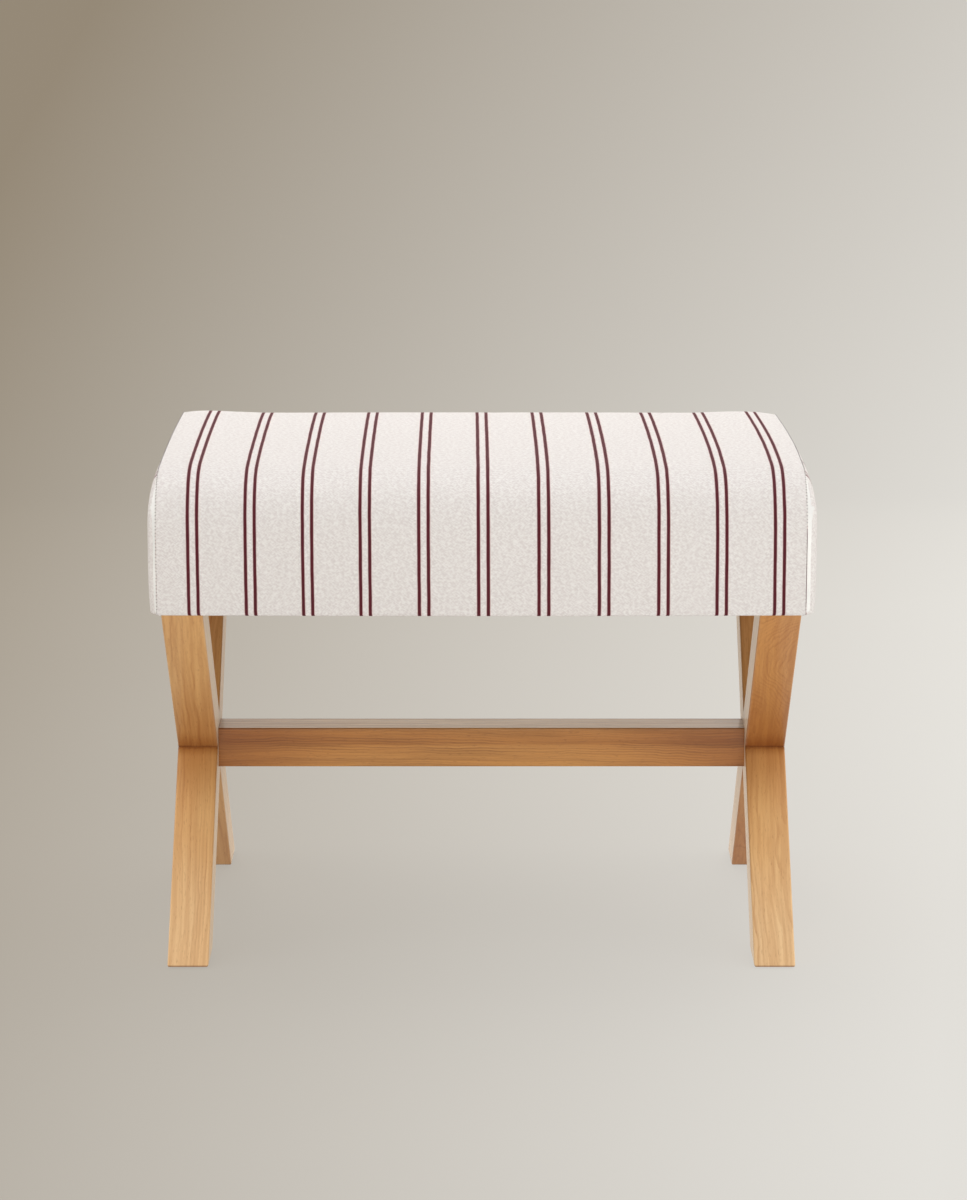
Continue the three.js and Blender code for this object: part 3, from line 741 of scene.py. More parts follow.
def plain(name, light, dark, rough=(0.5, 0.6), metal=0.0, scale=900.0, depth=0.00003):
    """A grained finish of two near tones, for metal, plastic, foam and fibre."""
    material, tree, shader = finish(name)
    place = put(tree, "ShaderNodeTexCoord").outputs["Object"]
    grain = use_effect(tree, GRIT, {"Vector": place, "Scale": scale})
    patch = ranged(tree, grain["Patch"], 0.3, 0.7)
    colour = mixed(tree, patch, light, dark)
    colour = mixed(tree, calc(tree, "MULTIPLY", grain["Grain"], 0.3), colour, dark)
    tree.links.new(colour, shader.inputs["Base Color"])
    roughness = ranged(tree, grain["Grain"], 0.25, 0.75, *rough, "LINEAR")
    tree.links.new(roughness, shader.inputs["Roughness"])
    shader.inputs["Metallic"].default_value = metal
    relief(tree, shader, grain["Grain"], depth)
    return material


def dust_cloth(name):
    """Black non-woven cloth with its fine pressed dots and loose fibres."""
    material, tree, shader = finish(name)
    place = put(tree, "ShaderNodeTexCoord").outputs["Object"]
    dots = put(
        tree,
        "ShaderNodeTexVoronoi",
        {"Vector": stretched(tree, place, (1, 1, 0)), "Scale": 620.0, "Randomness": 0.25},
    ).outputs["Distance"]
    pressed = ranged(tree, dots, 0.18, 0.34, 1.0, 0.0)
    fibre = grained(tree, stretched(tree, place, (1, 0.2, 0)), 1400.0, 3.0, 0.7)
    colour = mixed(tree, fibre, (0.012, 0.012, 0.014), (0.045, 0.045, 0.05))
    colour = mixed(tree, calc(tree, "MULTIPLY", pressed, 0.6), colour, (0.008, 0.008, 0.009))
    tree.links.new(colour, shader.inputs["Base Color"])
    tree.links.new(ranged(tree, fibre, 0.3, 0.7, 0.75, 0.92), shader.inputs["Roughness"])
    shader.inputs["Sheen Weight"].default_value = 0.1
    relief(tree, shader, calc(tree, "SUBTRACT", fibre, pressed), 0.00012)
    return material


def plywood(name):
    """Plywood with its layers, stacked along Z."""
    material, tree, shader = finish(name)
    place = put(tree, "ShaderNodeTexCoord").outputs["Object"]
    turned = put(tree, "ShaderNodeMapping", {"Vector": place, "Rotation": (0, math.pi / 2, 0)}).outputs[0]
    figure = use_effect(tree, WOOD_FIGURE, {"Vector": turned, "Ring Width": 0.011, "Wander": 0.05})
    height = put(tree, "ShaderNodeSeparateXYZ", {0: place}).outputs[2]
    layer = calc(tree, "FLOORED_MODULO", calc(tree, "DIVIDE", height, 0.0018), 2.0)
    dark_layer = ranged(tree, layer, 0.95, 1.05)
    pale, deep, glued = (0.60, 0.42, 0.24), (0.42, 0.26, 0.13), (0.33, 0.2, 0.1)
    colour = mixed(tree, calc(tree, "MULTIPLY", figure["Rings"], 0.5), pale, deep)
    colour = mixed(tree, calc(tree, "MULTIPLY", dark_layer, 0.35), colour, glued)
    tree.links.new(colour, shader.inputs["Base Color"])
    tree.links.new(ranged(tree, figure["Streaks"], 0.0, 1.0, 0.7, 0.86), shader.inputs["Roughness"])
    relief(tree, shader, figure["Streaks"], 0.0001)
    return material


def leg_rod(diameter, low, high, place=(0, 0), **settings):
    """A cylindrical cutter that is a clearance wider than what goes in the hole."""
    return cylinder(diameter + 2 * FIT_GAP, low, high, place=place, **settings)


def screw_places(end):
    return [end * (FRAME_DEPTH / 2 - share * TIP_LENGTH) for share in SCREW_PLACE_SHARES]


def screw_cutters(x, ends=(-1, 1)):
    """Holes for the bar screws: a bore and a countersink at each place."""
    top = ARM_TOP - FIT_GAP
    cutters = []
    for end in ends:
        for y in screw_places(end):
            bottom = top - SCREW_LENGTH - FIT_GAP
            cutters.append(leg_rod(SCREW_DIAMETER, bottom, ARM_TOP + OVERRUN, (x, y), sides=16))
            sink = cylinder(
                SCREW_DIAMETER + 2 * FIT_GAP,
                top - SCREW_HEAD_HEIGHT - FIT_GAP,
                ARM_TOP + FIT_GAP,
                place=(x, y),
                top_diameter=SCREW_HEAD + 3 * FIT_GAP,
            )
            cutters.append(sink)
    return cutters


def leg(side, lean):
    """A leg of one side frame. lean +1 has its foot at the front, -1 at the back."""
    x = side * LEG_X
    long = 2 * RISE
    half = Vector((LEG_WIDTH, LEG_DEPTH, long)) / 2
    piece = cube(-half, half)
    piece.rotation_euler.x = -lean * LEAN
    piece.location = (x, 0, CROSSING)
    settle(piece)
    for height, upper in ((FOOT_BOTTOM, False), (ARM_TOP, True)):
        mesh = edit(piece)
        bpy.ops.mesh.select_all(action="SELECT")
        bpy.ops.mesh.bisect(
            plane_co=(0, 0, height),
            plane_no=(0, 0, 1),
            use_fill=True,
            clear_outer=upper,
            clear_inner=not upper,
        )
        leave_edit()
    bevel_edges(piece, EDGE_EASE, 3)

    face_sign = lean * side
    reach = LEG_WIDTH / 2 + OVERRUN
    notch_low = Vector((0, -LEG_DEPTH / 2 - JOINT_GAP, -TIP_LENGTH))
    notch_high = Vector((reach, LEG_DEPTH / 2 + JOINT_GAP, TIP_LENGTH))
    notch = cube(notch_low, notch_high)
    notch.location = (-reach / 2, 0, 0)
    settle(notch)
    notch.rotation_euler.x = lean * LEAN
    notch.location = (x + face_sign * (reach / 2 - FIT_GAP / 2), 0, CROSSING)
    cut(piece, settle(notch))

    slot_half = Vector((BAR_WIDTH / 2 + FIT_GAP, BAR_LENGTH / 2 + FIT_GAP))
    slot = cube(
        (x - slot_half.x, -slot_half.y, BAR_BOTTOM - FIT_GAP),
        (x + slot_half.x, slot_half.y, ARM_TOP + OVERRUN),
    )
    cut(piece, slot, *screw_cutters(x, (lean,)))

    outer = side * (LEG_X + LEG_WIDTH / 2)
    bore = along_x(leg_rod(LONG_BOLT_DIAMETER, -LEG_WIDTH, LEG_WIDTH))
    recess_depth = CAP_THICKNESS + LONG_BOLT_HEAD + 2 * FIT_GAP
    recess = along_x(leg_rod(CAP_DIAMETER, -recess_depth, OVERRUN, sides=40), side)
    nail = leg_rod(NAIL_DIAMETER, 0, FOOT_BOTTOM + NAIL_LENGTH + FIT_GAP, (x, -lean * FOOT_Y), sides=12)
    cut(piece, moved(bore, x, 0, RAIL_Z), moved(recess, outer, 0, RAIL_Z), nail)
    if lean > 0:
        inner = side * (LEG_X - LEG_WIDTH / 2)
        for end in ENDS.values():
            depth = DOWEL_LENGTH / 2 + FIT_GAP
            hole = along_x(leg_rod(DOWEL_DIAMETER, -OVERRUN, depth), side)
            cut(piece, moved(hole, inner, end * DOWEL_SPACING / 2, RAIL_Z))
    return smooth(piece)


def stretcher():
    """The straight rail between the crossings, with its holes for bolts, nuts and dowels."""
    lengthwise = lambda edge: abs(edge.verts[0].co.x - edge.verts[1].co.x) > RAIL_HIGH.x
    reach = Vector((FIT_GAP - JOINT_GAP, 0, 0))
    piece = bevel_edges(cube(RAIL_LOW - reach, RAIL_HIGH + reach), EDGE_EASE, 3, lengthwise)
    for side in SIDES.values():
        end_x = side * RAIL_HIGH.x
        nut_x = side * (RAIL_HIGH.x - NUT_SETBACK)
        bolt_depth = NUT_SETBACK + NUT_DIAMETER / 2 + BOLT_TAIL + FIT_GAP
        bore = along_x(leg_rod(LONG_BOLT_DIAMETER, -bolt_depth, OVERRUN), side)
        nut_top = RAIL_Z + NUT_LENGTH / 2 + FIT_GAP
        nut = leg_rod(NUT_DIAMETER, RAIL_LOW.z - OVERRUN, nut_top, (nut_x, 0), sides=40)
        cut(piece, moved(bore, end_x, 0, RAIL_Z), nut)
        for end in ENDS.values():
            hole = along_x(leg_rod(DOWEL_DIAMETER, -DOWEL_LENGTH / 2, OVERRUN), side)
            cut(piece, moved(hole, end_x, end * DOWEL_SPACING / 2, RAIL_Z))
    return smooth(piece)


def glide():
    """A nail-on glide: a domed disc, and its nail drawn up out of the top."""
    rim = FOOT_BOTTOM / 3
    piece = cylinder(GLIDE_DIAMETER, 0, FOOT_BOTTOM - FIT_GAP, sides=48)
    bevel_edges(piece, rim, 3, lambda edge: max(v.co.z for v in edge.verts) < rim)
    mesh = edit(piece)
    bpy.ops.mesh.select_mode(type="FACE")
    choose_faces(mesh, lambda face: face.normal.z > 0.9)
    bpy.ops.mesh.inset(thickness=(GLIDE_DIAMETER - NAIL_DIAMETER) / 2)
    bpy.ops.mesh.extrude_region_move(TRANSFORM_OT_translate={"value": (0, 0, NAIL_LENGTH)})
    bpy.ops.mesh.merge(type="CENTER")
    leave_edit()
    return smooth(piece)


def bolt_cap():
    """A flush cap with an eased rim and a slightly raised middle, its face at height zero."""
    rim = CAP_THICKNESS / 4
    piece = cylinder(CAP_DIAMETER, -CAP_THICKNESS, 0, sides=48)
    bevel_edges(piece, rim, 3, lambda edge: min(v.co.z for v in edge.verts) > -rim)
    mesh = edit(piece)
    bpy.ops.mesh.select_mode(type="FACE")
    choose_faces(mesh, lambda face: face.normal.z > 0.99 and len(face.verts) > 4)
    bpy.ops.mesh.inset(thickness=CAP_DIAMETER / 12, depth=-rim / 4)
    bpy.ops.mesh.inset(thickness=CAP_DIAMETER / 12, depth=0)
    leave_edit()
    return smooth(piece)


def seat_bolt():
    """A button-head bolt with a hexagon socket, its head below the washer."""
    head_top = BAR_BOTTOM - WASHER_THICKNESS - 2 * FIT_GAP
    head_bottom = head_top - SEAT_BOLT_HEAD_HEIGHT
    piece = cylinder(SEAT_BOLT_HEAD * 0.72, head_bottom, head_top, sides=48, top_diameter=SEAT_BOLT_HEAD)
    below = lambda edge: max(v.co.z for v in edge.verts) < head_top - MM
    bevel_edges(piece, SEAT_BOLT_HEAD_HEIGHT / 4, 4, below)
    mesh = edit(piece)
    bpy.ops.mesh.select_mode(type="FACE")
    choose_faces(mesh, lambda face: face.normal.z > 0.9)
    bpy.ops.mesh.inset(thickness=(SEAT_BOLT_HEAD - SEAT_BOLT_DIAMETER) / 2)
    shank = (0, 0, SEAT_BOLT_TOP - head_top)
    bpy.ops.mesh.extrude_region_move(TRANSFORM_OT_translate={"value": shank})
    leave_edit()
    socket_top = head_bottom + SEAT_BOLT_HEAD_HEIGHT / 2
    socket = cylinder(SEAT_BOLT_HEAD * HEX_SHARE, head_bottom - OVERRUN, socket_top, sides=6)
    return smooth(cut(piece, socket))


def washer():
    """A flat washer with eased edges."""
    top = BAR_BOTTOM - FIT_GAP
    piece = cylinder(WASHER_DIAMETER, top - WASHER_THICKNESS, top, sides=48)
    cut(piece, leg_rod(SEAT_BOLT_DIAMETER, top - 2 * WASHER_THICKNESS, top + WASHER_THICKNESS, sides=32))
    level = lambda edge: abs(edge.verts[0].co.z - edge.verts[1].co.z) < FLAT
    bevel_edges(piece, WASHER_THICKNESS / 6, 2, level)
    return smooth(piece)


def mounting_bar():
    """A flat bar with rounded ends, eased edges, screw countersinks and bolt holes."""
    half = Vector((BAR_WIDTH, BAR_LENGTH)) / 2
    piece = cube((-half.x, -half.y, BAR_BOTTOM), (half.x, half.y, ARM_TOP))
    upright = lambda edge: abs(edge.verts[0].co.z - edge.verts[1].co.z) > BAR_THICKNESS / 2
    bevel_edges(piece, BAR_WIDTH / 6, 5, upright)
    level = lambda edge: abs(edge.verts[0].co.z - edge.verts[1].co.z) < BAR_THICKNESS / 2
    bevel_edges(piece, BAR_THICKNESS / 10, 2, level)
    cut(piece, *screw_cutters(0))
    for end in ENDS.values():
        place = (0, end * SEAT_BOLT_SPACING / 2)
        cut(piece, leg_rod(SEAT_BOLT_DIAMETER, BAR_BOTTOM - OVERRUN, ARM_TOP + OVERRUN, place, sides=32))
    return smooth(piece)


def staple():
    """A staple's crown with its two legs turned up into the rail, about the origin."""
    half = STAPLE_WIDTH / 2
    wire = STAPLE_WIRE / 2
    piece = cube((-half, -wire, -STAPLE_WIRE), (half, wire, 0))
    for end in ENDS.values():
        mesh = edit(piece)
        bpy.ops.mesh.select_mode(type="FACE")
        choose_faces(mesh, lambda face: face.normal.x * end > 0.9)
        bpy.ops.mesh.extrude_region_move(TRANSFORM_OT_translate={"value": (end * STAPLE_WIRE, 0, 0)})
        mesh = bmesh.from_edit_mesh(piece.data)
        choose_faces(mesh, lambda face: face.normal.z > 0.9 and face.calc_center_median().x * end > half)
        bpy.ops.mesh.extrude_region_move(TRANSFORM_OT_translate={"value": (0, 0, 3 * STAPLE_WIRE)})
        leave_edit()
    lengthwise = lambda edge: abs(edge.verts[0].co.x - edge.verts[1].co.x) > STAPLE_WIDTH / 2
    bevel_edges(piece, STAPLE_WIRE / 4, 1, lengthwise)
    return piece


# The upholstered seat: its outline, its grid of cloth and the stuffing

def evenly(points, step):
    """The same line with points an equal step apart."""
    points = np.asarray(points, float)
    lengths = np.r_[0, np.cumsum(np.linalg.norm(np.diff(points, axis=0), axis=1))]
    count = max(2, round(lengths[-1] / step) + 1)
    at = np.linspace(0, lengths[-1], count)
    return np.stack([np.interp(at, lengths, points[:, k]) for k in range(points.shape[1])], 1)


def rounded_corner(inset=0.0):
    """The top rear edge's rounding as points (y, z), from its upright end to its level end."""
    half, top = HALF_DEPTH - inset, SEAT_TOP - TOP_CROWN - inset
    rounding = EDGE_ROUNDING - inset
    angles = np.linspace(0, math.pi / 2, 121)
    power = 2 / ROUNDING_POWER
    out = rounding * np.cos(angles).clip(0) ** power
    up = rounding * np.sin(angles) ** power
    return np.stack([half - rounding + out, top - rounding + up], 1)


def seat_outline(bottom, inset=0.0, step=GRID_STEP):
    """Points (y, z) up the front, over the top and down the back, with the rows of front and top."""
    corner = rounded_corner(inset)
    foot = np.interp(bottom, corner[:, 1], corner[:, 0])
    corner = np.r_[[[foot, bottom]], corner[corner[:, 1] > bottom + MM]]
    middle = len(corner) // 2 + 1
    reach = corner[-1, 0]
    place = np.linspace(-1, 1, 81)[1:-1]
    crown = np.stack([place * reach, corner[-1, 1] + TOP_CROWN * (1 - place**2)], 1)
    mirror = np.array([-1, 1])
    rise = corner[:middle]
    front = evenly(rise * mirror, step)
    over = np.r_[corner[middle - 1:] * mirror, crown, corner[middle - 1:][::-1]]
    top = evenly(over, step)
    back = evenly(rise, step)[::-1]
    return np.r_[front, top[1:], back[1:]], len(front), len(top)


def coons(bottom, top, left, right):
    """A grid of points that fills four edge lines, [row from the bottom, column from the left]."""
    rows = np.linspace(0, 1, len(left))[:, None, None]
    columns = np.linspace(0, 1, len(bottom))[None, :, None]
    across = (1 - columns) * left[:, None] + columns * right[:, None]
    upward = (1 - rows) * bottom[None] + rows * top[None]
    corners = (1 - rows) * ((1 - columns) * bottom[0] + columns * bottom[-1])
    corners = corners + rows * ((1 - columns) * top[0] + columns * top[-1])
    return across + upward - corners


def grid_faces(index):
    """Quads over a two-way array of vertex numbers."""
    a, b = index[:-1, :-1], index[:-1, 1:]
    c, d = index[1:, 1:], index[1:, :-1]
    return np.stack([a, b, c, d], -1).reshape(-1, 4).tolist()


def eased(value, low, high):
    """A share from 0 to 1 between two values, with soft ends."""
    share = np.clip((value - low) / (high - low), 0, 1)
    return share * share * (3 - 2 * share)


def side_grid(outline, front_rows, top_rows, swell):
    """The side panel's grid in (outward, y, z), swelling past the seam."""
    left = outline[:front_rows]
    top = outline[front_rows - 1:front_rows + top_rows - 1]
    right = outline[front_rows + top_rows - 2:][::-1]
    floor = np.linspace(left[0], right[0], len(top))
    flat = coons(floor, top, left, right)
    above = flat[..., 1] - flat[:1, :, 1]
    below = top[None, :, 1] - flat[..., 1]
    beside = np.minimum(flat[..., 0] - left[:, None, 0], right[:, None, 0] - flat[..., 0])
    near = np.clip(np.minimum(below / SIDE_TOP_REACH, beside / SIDE_REACH), 0, 1)
    swells = swell * (1 - (1 - near) ** 2.2) * (1 - SIDE_FOOT_SHARE * np.exp(-above / SIDE_FOOT_REACH))
    swells = swells * (1 - SIDE_BACK_LOSS * eased(flat[..., 0], -HALF_DEPTH / 3, HALF_DEPTH * 0.7))
    return np.concatenate([(SEAM_X + swells)[..., None], flat], -1)


def cut_form(inset=0.0, bottom=CLOTH_BOTTOM, swell=1.0):
    """The seat's form: a grid over the front, top and back, and one for each side."""
    outline, front_rows, top_rows = seat_outline(bottom, inset)
    seam = SEAM_X - inset
    across = np.linspace(-seam, seam, 2 * round(seam / GRID_STEP) + 1)
    main = np.zeros((len(outline), len(across), 3))
    main[..., 0] = across
    main[..., 1:] = outline[:, None]
    from_seam = seam - abs(across)
    lift = EDGE_FULLNESS * eased(from_seam, 0, EDGE_REACH)
    lift = lift - MIDDLE_DROP * eased(from_seam, EDGE_REACH, DROP_REACH)
    height = np.clip((outline[:, 1] - (SEAT_TOP - EDGE_ROUNDING)) / EDGE_ROUNDING, 0, 1)
    main[..., 2] += height[:, None] ** 3 * lift[None]
    panels = {}
    for side, fullness in SIDE_FULLNESS.items():
        panels[side] = side_grid(outline, front_rows, top_rows, swell * fullness)
        panels[side][..., 0] -= inset
    from_corner = {0: np.where(across > 0, from_seam, seam)[None], 1: SEAT_TOP - panels[1][..., 2]}
    for k, grid in enumerate((main, panels[1])):
        backward = eased(grid[..., 1], -HALF_DEPTH / 2, HALF_DEPTH)
        grid[..., 2] -= BACK_DROP * backward * (1 - eased(from_corner[k], 0, BACK_DROP_REACH))
        grid[..., 0] -= BACK_TAPER / SEAM_X * backward * np.clip(grid[..., 0], 0, None)
    return main, panels, front_rows, top_rows


def sewn_form(main, panels, front_rows, top_rows):
    """The three panels joined at the seams: points, faces, the bottom rim and each panel's numbers."""
    rows, columns = main.shape[:2]
    numbers = np.arange(rows * columns).reshape(rows, columns)
    points = [main.reshape(-1, 3)]
    faces = grid_faces(numbers)
    count = rows * columns
    indices = {}
    for side, panel in panels.items():
        index = np.zeros(panel.shape[:2], int)
        seam = numbers[:, 0 if side < 0 else -1]
        index[:, 0] = seam[:front_rows]
        index[-1, :] = seam[front_rows - 1:front_rows + top_rows - 1]
        index[:, -1] = seam[front_rows + top_rows - 2:][::-1]
        inner = np.ones(index.shape, bool)
        inner[:, 0] = inner[:, -1] = inner[-1, :] = False
        index[inner] = count + np.arange(inner.sum())
        count += inner.sum()
        points.append((panel * (side, 1, 1))[inner])
        faces += grid_faces(index if side > 0 else index[:, ::-1])
        indices[side] = index
    rim = [*numbers[0], *indices[1][0, 1:-1], *numbers[-1][::-1], *indices[-1][0, 1:-1][::-1]]
    return np.concatenate(points), faces, [int(i) for i in rim], numbers, indices


def stuffed(main, panels, front_rows, top_rows):
    """The form blown up a little as cloth that is sewn at the seams and fixed at the bottom."""
    points, faces, rim, numbers, indices = sewn_form(main, panels, front_rows, top_rows)
    centre = len(points)
    points = np.r_[points, [[0, 0, main[0, 0, 2]]]]
    faces += [(centre, b, a) for a, b in zip(rim, rim[1:] + rim[:1])]
    form = mesh_piece(points, faces)
    sewn = form.vertex_groups.new(name="sewn")
    held = {*rim, centre, *numbers[:, 0], *numbers[:, -1]}
    sewn.add([int(i) for i in held], 1.0, "REPLACE")
    cloth = form.modifiers.new("stuffing", "CLOTH")
    cloth.settings.vertex_group_mass = "sewn"
    cloth.settings.quality = 6
    cloth.settings.mass = 0.3
    cloth.settings.tension_stiffness = 12
    cloth.settings.compression_stiffness = 12
    cloth.settings.shear_stiffness = 6
    cloth.settings.bending_stiffness = 0.4
    cloth.settings.use_pressure = True
    cloth.settings.uniform_pressure_force = 4
    cloth.settings.shrink_min = -0.004
    cloth.settings.effector_weights.gravity = 0
    cloth.collision_settings.use_collision = False
    cloth.point_cache.frame_end = 20
    scene = bpy.context.scene
    for step in range(1, 21):
        scene.frame_set(step)
    shown = form.evaluated_get(bpy.context.evaluated_depsgraph_get())
    blown = np.array([v.co for v in shown.data.vertices])
    scene.frame_set(1)

    normals = -np.array([v.normal for v in form.data.vertices])
    bpy.data.objects.remove(form)
    outward = -((blown - points) * normals).sum(1)
    give = np.zeros(len(points))
    main_count = numbers.size
    for part, cap in ((slice(0, main_count), MAIN_CAP), (slice(main_count, None), SIDE_CAP)):
        reach = outward[part].max()
        print("stuffing pushed the cloth out by", round(float(reach) / MM, 1), "mm")
        give[part] = np.clip(outward[part], 0, None) * cap / reach
    points = points - normals * give[:, None]
    return points[numbers], {side: points[index] * (side, 1, 1) for side, index in indices.items()}


def line_normals(points, closed_side=1):
    """Unit normals of a line in two dimensions, to its left."""
    along = np.gradient(points, axis=0)
    along /= np.linalg.norm(along, axis=1, keepdims=True)
    return np.stack([-along[:, 1], along[:, 0]], 1) * closed_side


def pucker(place, seed):
    """A soft uneven draw of the cloth beside a seam."""
    spot = Vector((place[1] * 90, place[2] * 90, seed))
    return noise.noise(spot) * SEAM_PUCKER


def hem_rows(edge, inward_axis, half):
    """The hem's lines from a panel's bottom edge: round the hanging fold, then flat under the rail."""
    places = [*HEM_FOLD, (HEM_WIDTH / 2, 0.0), (HEM_WIDTH, 0.0)]
    along_axis = 1 - inward_axis
    sag = HEM_SAG * (1 - (edge[:, along_axis] / half) ** 2)
    lines = []
    for inward, under in places:
        line = edge.copy()
        line[:, inward_axis] -= np.sign(edge[:, inward_axis]) * inward
        line[:, along_axis] *= (half - inward) / half
        line[:, 2] = CLOTH_BOTTOM - under - sag * under / HEM_FOLD[2][1]
        lines.append(line)
    return lines


def main_panel(main):
    """The front, top and back as one piece of cloth, with its hems and its rolled seam edges."""
    hems = [hem_rows(row, 1, SEAM_X) for row in (main[0], main[-1])]
    grid = np.array([*hems[0][::-1], *main, *hems[1]])
    middle = grid[:, grid.shape[1] // 2, 1:]
    normals = line_normals(middle)
    turned = len(hems[0])
    deep = np.ones(len(grid))
    deep[:turned] = deep[-turned:] = 0.4
    columns = {}
    for side, edge in ((-1, grid[:, 0]), (1, grid[:, -1])):
        lines = []
        for along, down in SEAM_FOLD_SHARES:
            line = edge.copy()
            line[:, 0] -= side * along * SEAM_FOLD
            line[:, 1:] -= normals * (deep * down * SEAM_FOLD)[:, None]
            if down == 0:
                draws = np.array([pucker(p, side * 7.0) for p in line])
                line[:, 1:] -= normals * (deep * draws)[:, None]
            lines.append(line)
        columns[side] = lines
    inner = [grid[:, k] for k in range(1, grid.shape[1] - 1)]
    full = np.stack([*columns[-1][::-1], *inner, *columns[1]], 1)
    steps = np.linalg.norm(np.diff(full, axis=1), axis=2).mean(0)
    middle_column = full.shape[1] // 2
    across = np.r_[0, np.cumsum(steps)]
    across -= across[middle_column]
    down = np.r_[0, np.cumsum(np.linalg.norm(np.diff(middle, axis=0), axis=1))]
    return full, across, down


def lengths_along(grid, axis, ways):
    """How far each point of a grid lies along it, counted in two of the three directions."""
    steps = np.linalg.norm(np.diff(grid[..., ways], axis=axis), axis=2)
    return np.insert(np.cumsum(steps, axis), 0, 0, axis)


def side_panel(panel, side):
    """A side as its own piece of cloth, with a hem and edges rolled in at the seam, and its weave map."""
    columns = panel.shape[1]
    hem = hem_rows(panel[0], 0, HALF_DEPTH)
    full = np.array([*hem[::-1], *panel])
    across = lengths_along(full, 1, (0, 1))
    across -= across[:, columns // 2][:, None]
    weave = np.stack([across, lengths_along(full, 0, (0, 2))], -1).reshape(-1, 2)
    below = len(hem)
    numbers = np.arange(full.shape[0] * columns).reshape(full.shape[:2])
    loop = [*numbers[:, 0], *numbers[-1, 1:-1], *numbers[:, -1][::-1]]
    flat = full.reshape(-1, 3)
    edge = flat[loop]
    normals = line_normals(edge[:, 1:])
    deep = np.ones(len(loop))
    deep[:below] = deep[-below:] = 0.4
    hem_part = deep < 1
    normals[hem_part] = np.sign(edge[hem_part, 1])[:, None] * (1.0, 0.0)
    rings = []
    folds = np.linalg.norm(np.diff(SEAM_FOLD_SHARES, axis=0), axis=1)
    reach = (np.r_[0, np.cumsum(folds)] - SEAM_FOLD_SHARES[0][0]) * SEAM_FOLD
    weaves = [weave[loop] + normals * r for r in reach]
    for along, down in SEAM_FOLD_SHARES:
        line = edge.copy()
        line[:, 1:] -= normals * along * SEAM_FOLD
        level = np.where(hem_part, 0.0, down)
        line[:, 0] -= level * SEAM_FOLD
        line[hem_part, 2] += deep[hem_part] * down * SEAM_FOLD
        if down == 0:
            line[:, 0] -= deep * np.array([pucker(p, side * 3.0) for p in line])
        rings.append(line)
    flat[loop] = rings[0]
    weave[loop] = weaves[0]
    points = np.concatenate([flat, *rings[1:]])
    weave = np.concatenate([weave, *weaves[1:]])
    faces = grid_faces(numbers)
    before = np.array(loop)
    for ring in range(1, len(rings)):
        after = len(flat) + (ring - 1) * len(loop) + np.arange(len(loop))
        faces += grid_faces(np.stack([before, after]))
        before = after
    points[:, 0] *= side
    if side < 0:
        faces = [face[::-1] for face in faces]
    return points, faces, weave


def map_cloth(piece, across, down):
    """Writes the weave map, in metres."""
    layer = piece.data.uv_layers.new(name="weave")
    for loop in piece.data.loops:
        layer.data[loop.index].uv = (across[loop.vertex_index], down[loop.vertex_index])


def sew(piece):
    """Gives a panel its thickness and its smooth final surface."""
    use_modifier(piece, "SOLIDIFY", thickness=CLOTH, offset=-1.0, use_even_offset=False)
    use_modifier(piece, "SUBSURF", levels=1, render_levels=1)
    pick(piece)
    bpy.ops.object.shade_smooth()
    return piece


def seam_stitches(main, side):
    """Short threads that cross the seam's groove, all round the side."""
    seam = main[:, 0 if side < 0 else -1]
    line = evenly(seam, STITCH_PITCH)
    normals = line_normals(line[:, 1:])
    model = cylinder(STITCH_DIAMETER, -STITCH_LENGTH / 2, STITCH_LENGTH / 2, sides=6)
    rim = lambda edge: abs(edge.verts[0].co.z - edge.verts[1].co.z) < FLAT
    bevel_edges(model, STITCH_DIAMETER / 4, 1, rim)
    points = np.array([v.co for v in model.data.vertices])
    model_faces = [tuple(face.vertices) for face in model.data.polygons]
    bpy.data.objects.remove(model)
    all_points, faces = [], []
    for spot, (ny, nz) in zip(line[1:-1], normals[1:-1]):
        up = Vector((side, ny, nz)).normalized()
        over = Vector((side, -ny, -nz)).normalized()
        turn = Matrix((over.cross(up), up, over)).transposed()
        centre = Vector(spot) - up * STITCH_DEPTH * math.sqrt(2)
        first = len(all_points)
        all_points += [turn @ Vector(p) + centre for p in points]
        faces += [tuple(first + i for i in face) for face in model_faces]
    piece = mesh_piece(all_points, faces)
    pick(piece)
    bpy.ops.object.mode_set(mode="EDIT")
    bpy.ops.mesh.select_all(action="SELECT")
    bpy.ops.mesh.normals_make_consistent(inside=False)
    leave_edit()
    return smooth(piece, weighted=False)


# Materials

def leg_wood(name, side, lean, pith, tilt, ring, wander, curl, depth, swirl=0.0):
    """Lacquered beech, the grain nearly along a leg; depth deepens its tones, swirl is its knot's pull."""
    centre = Vector((side * LEG_X, 0, CROSSING))
    turn = lean * LEAN + tilt
    from_pith = Vector(pith) - Matrix.Rotation(turn, 3, "X") @ centre
    tones = [tuple(c * (1 - depth * s) for c, s in zip(tone, (0.5, 0.8, 1.15))) for tone in LEG_TONES]
    knot = Matrix.Rotation(turn, 3, "X") @ Vector(KNOT_PLACE) + from_pith
    look = {"tones": tones, "swirl": (swirl, tuple(knot))}
    return wood(name, (turn, 0, 0), tuple(from_pith), ring, wander, curl, **look)


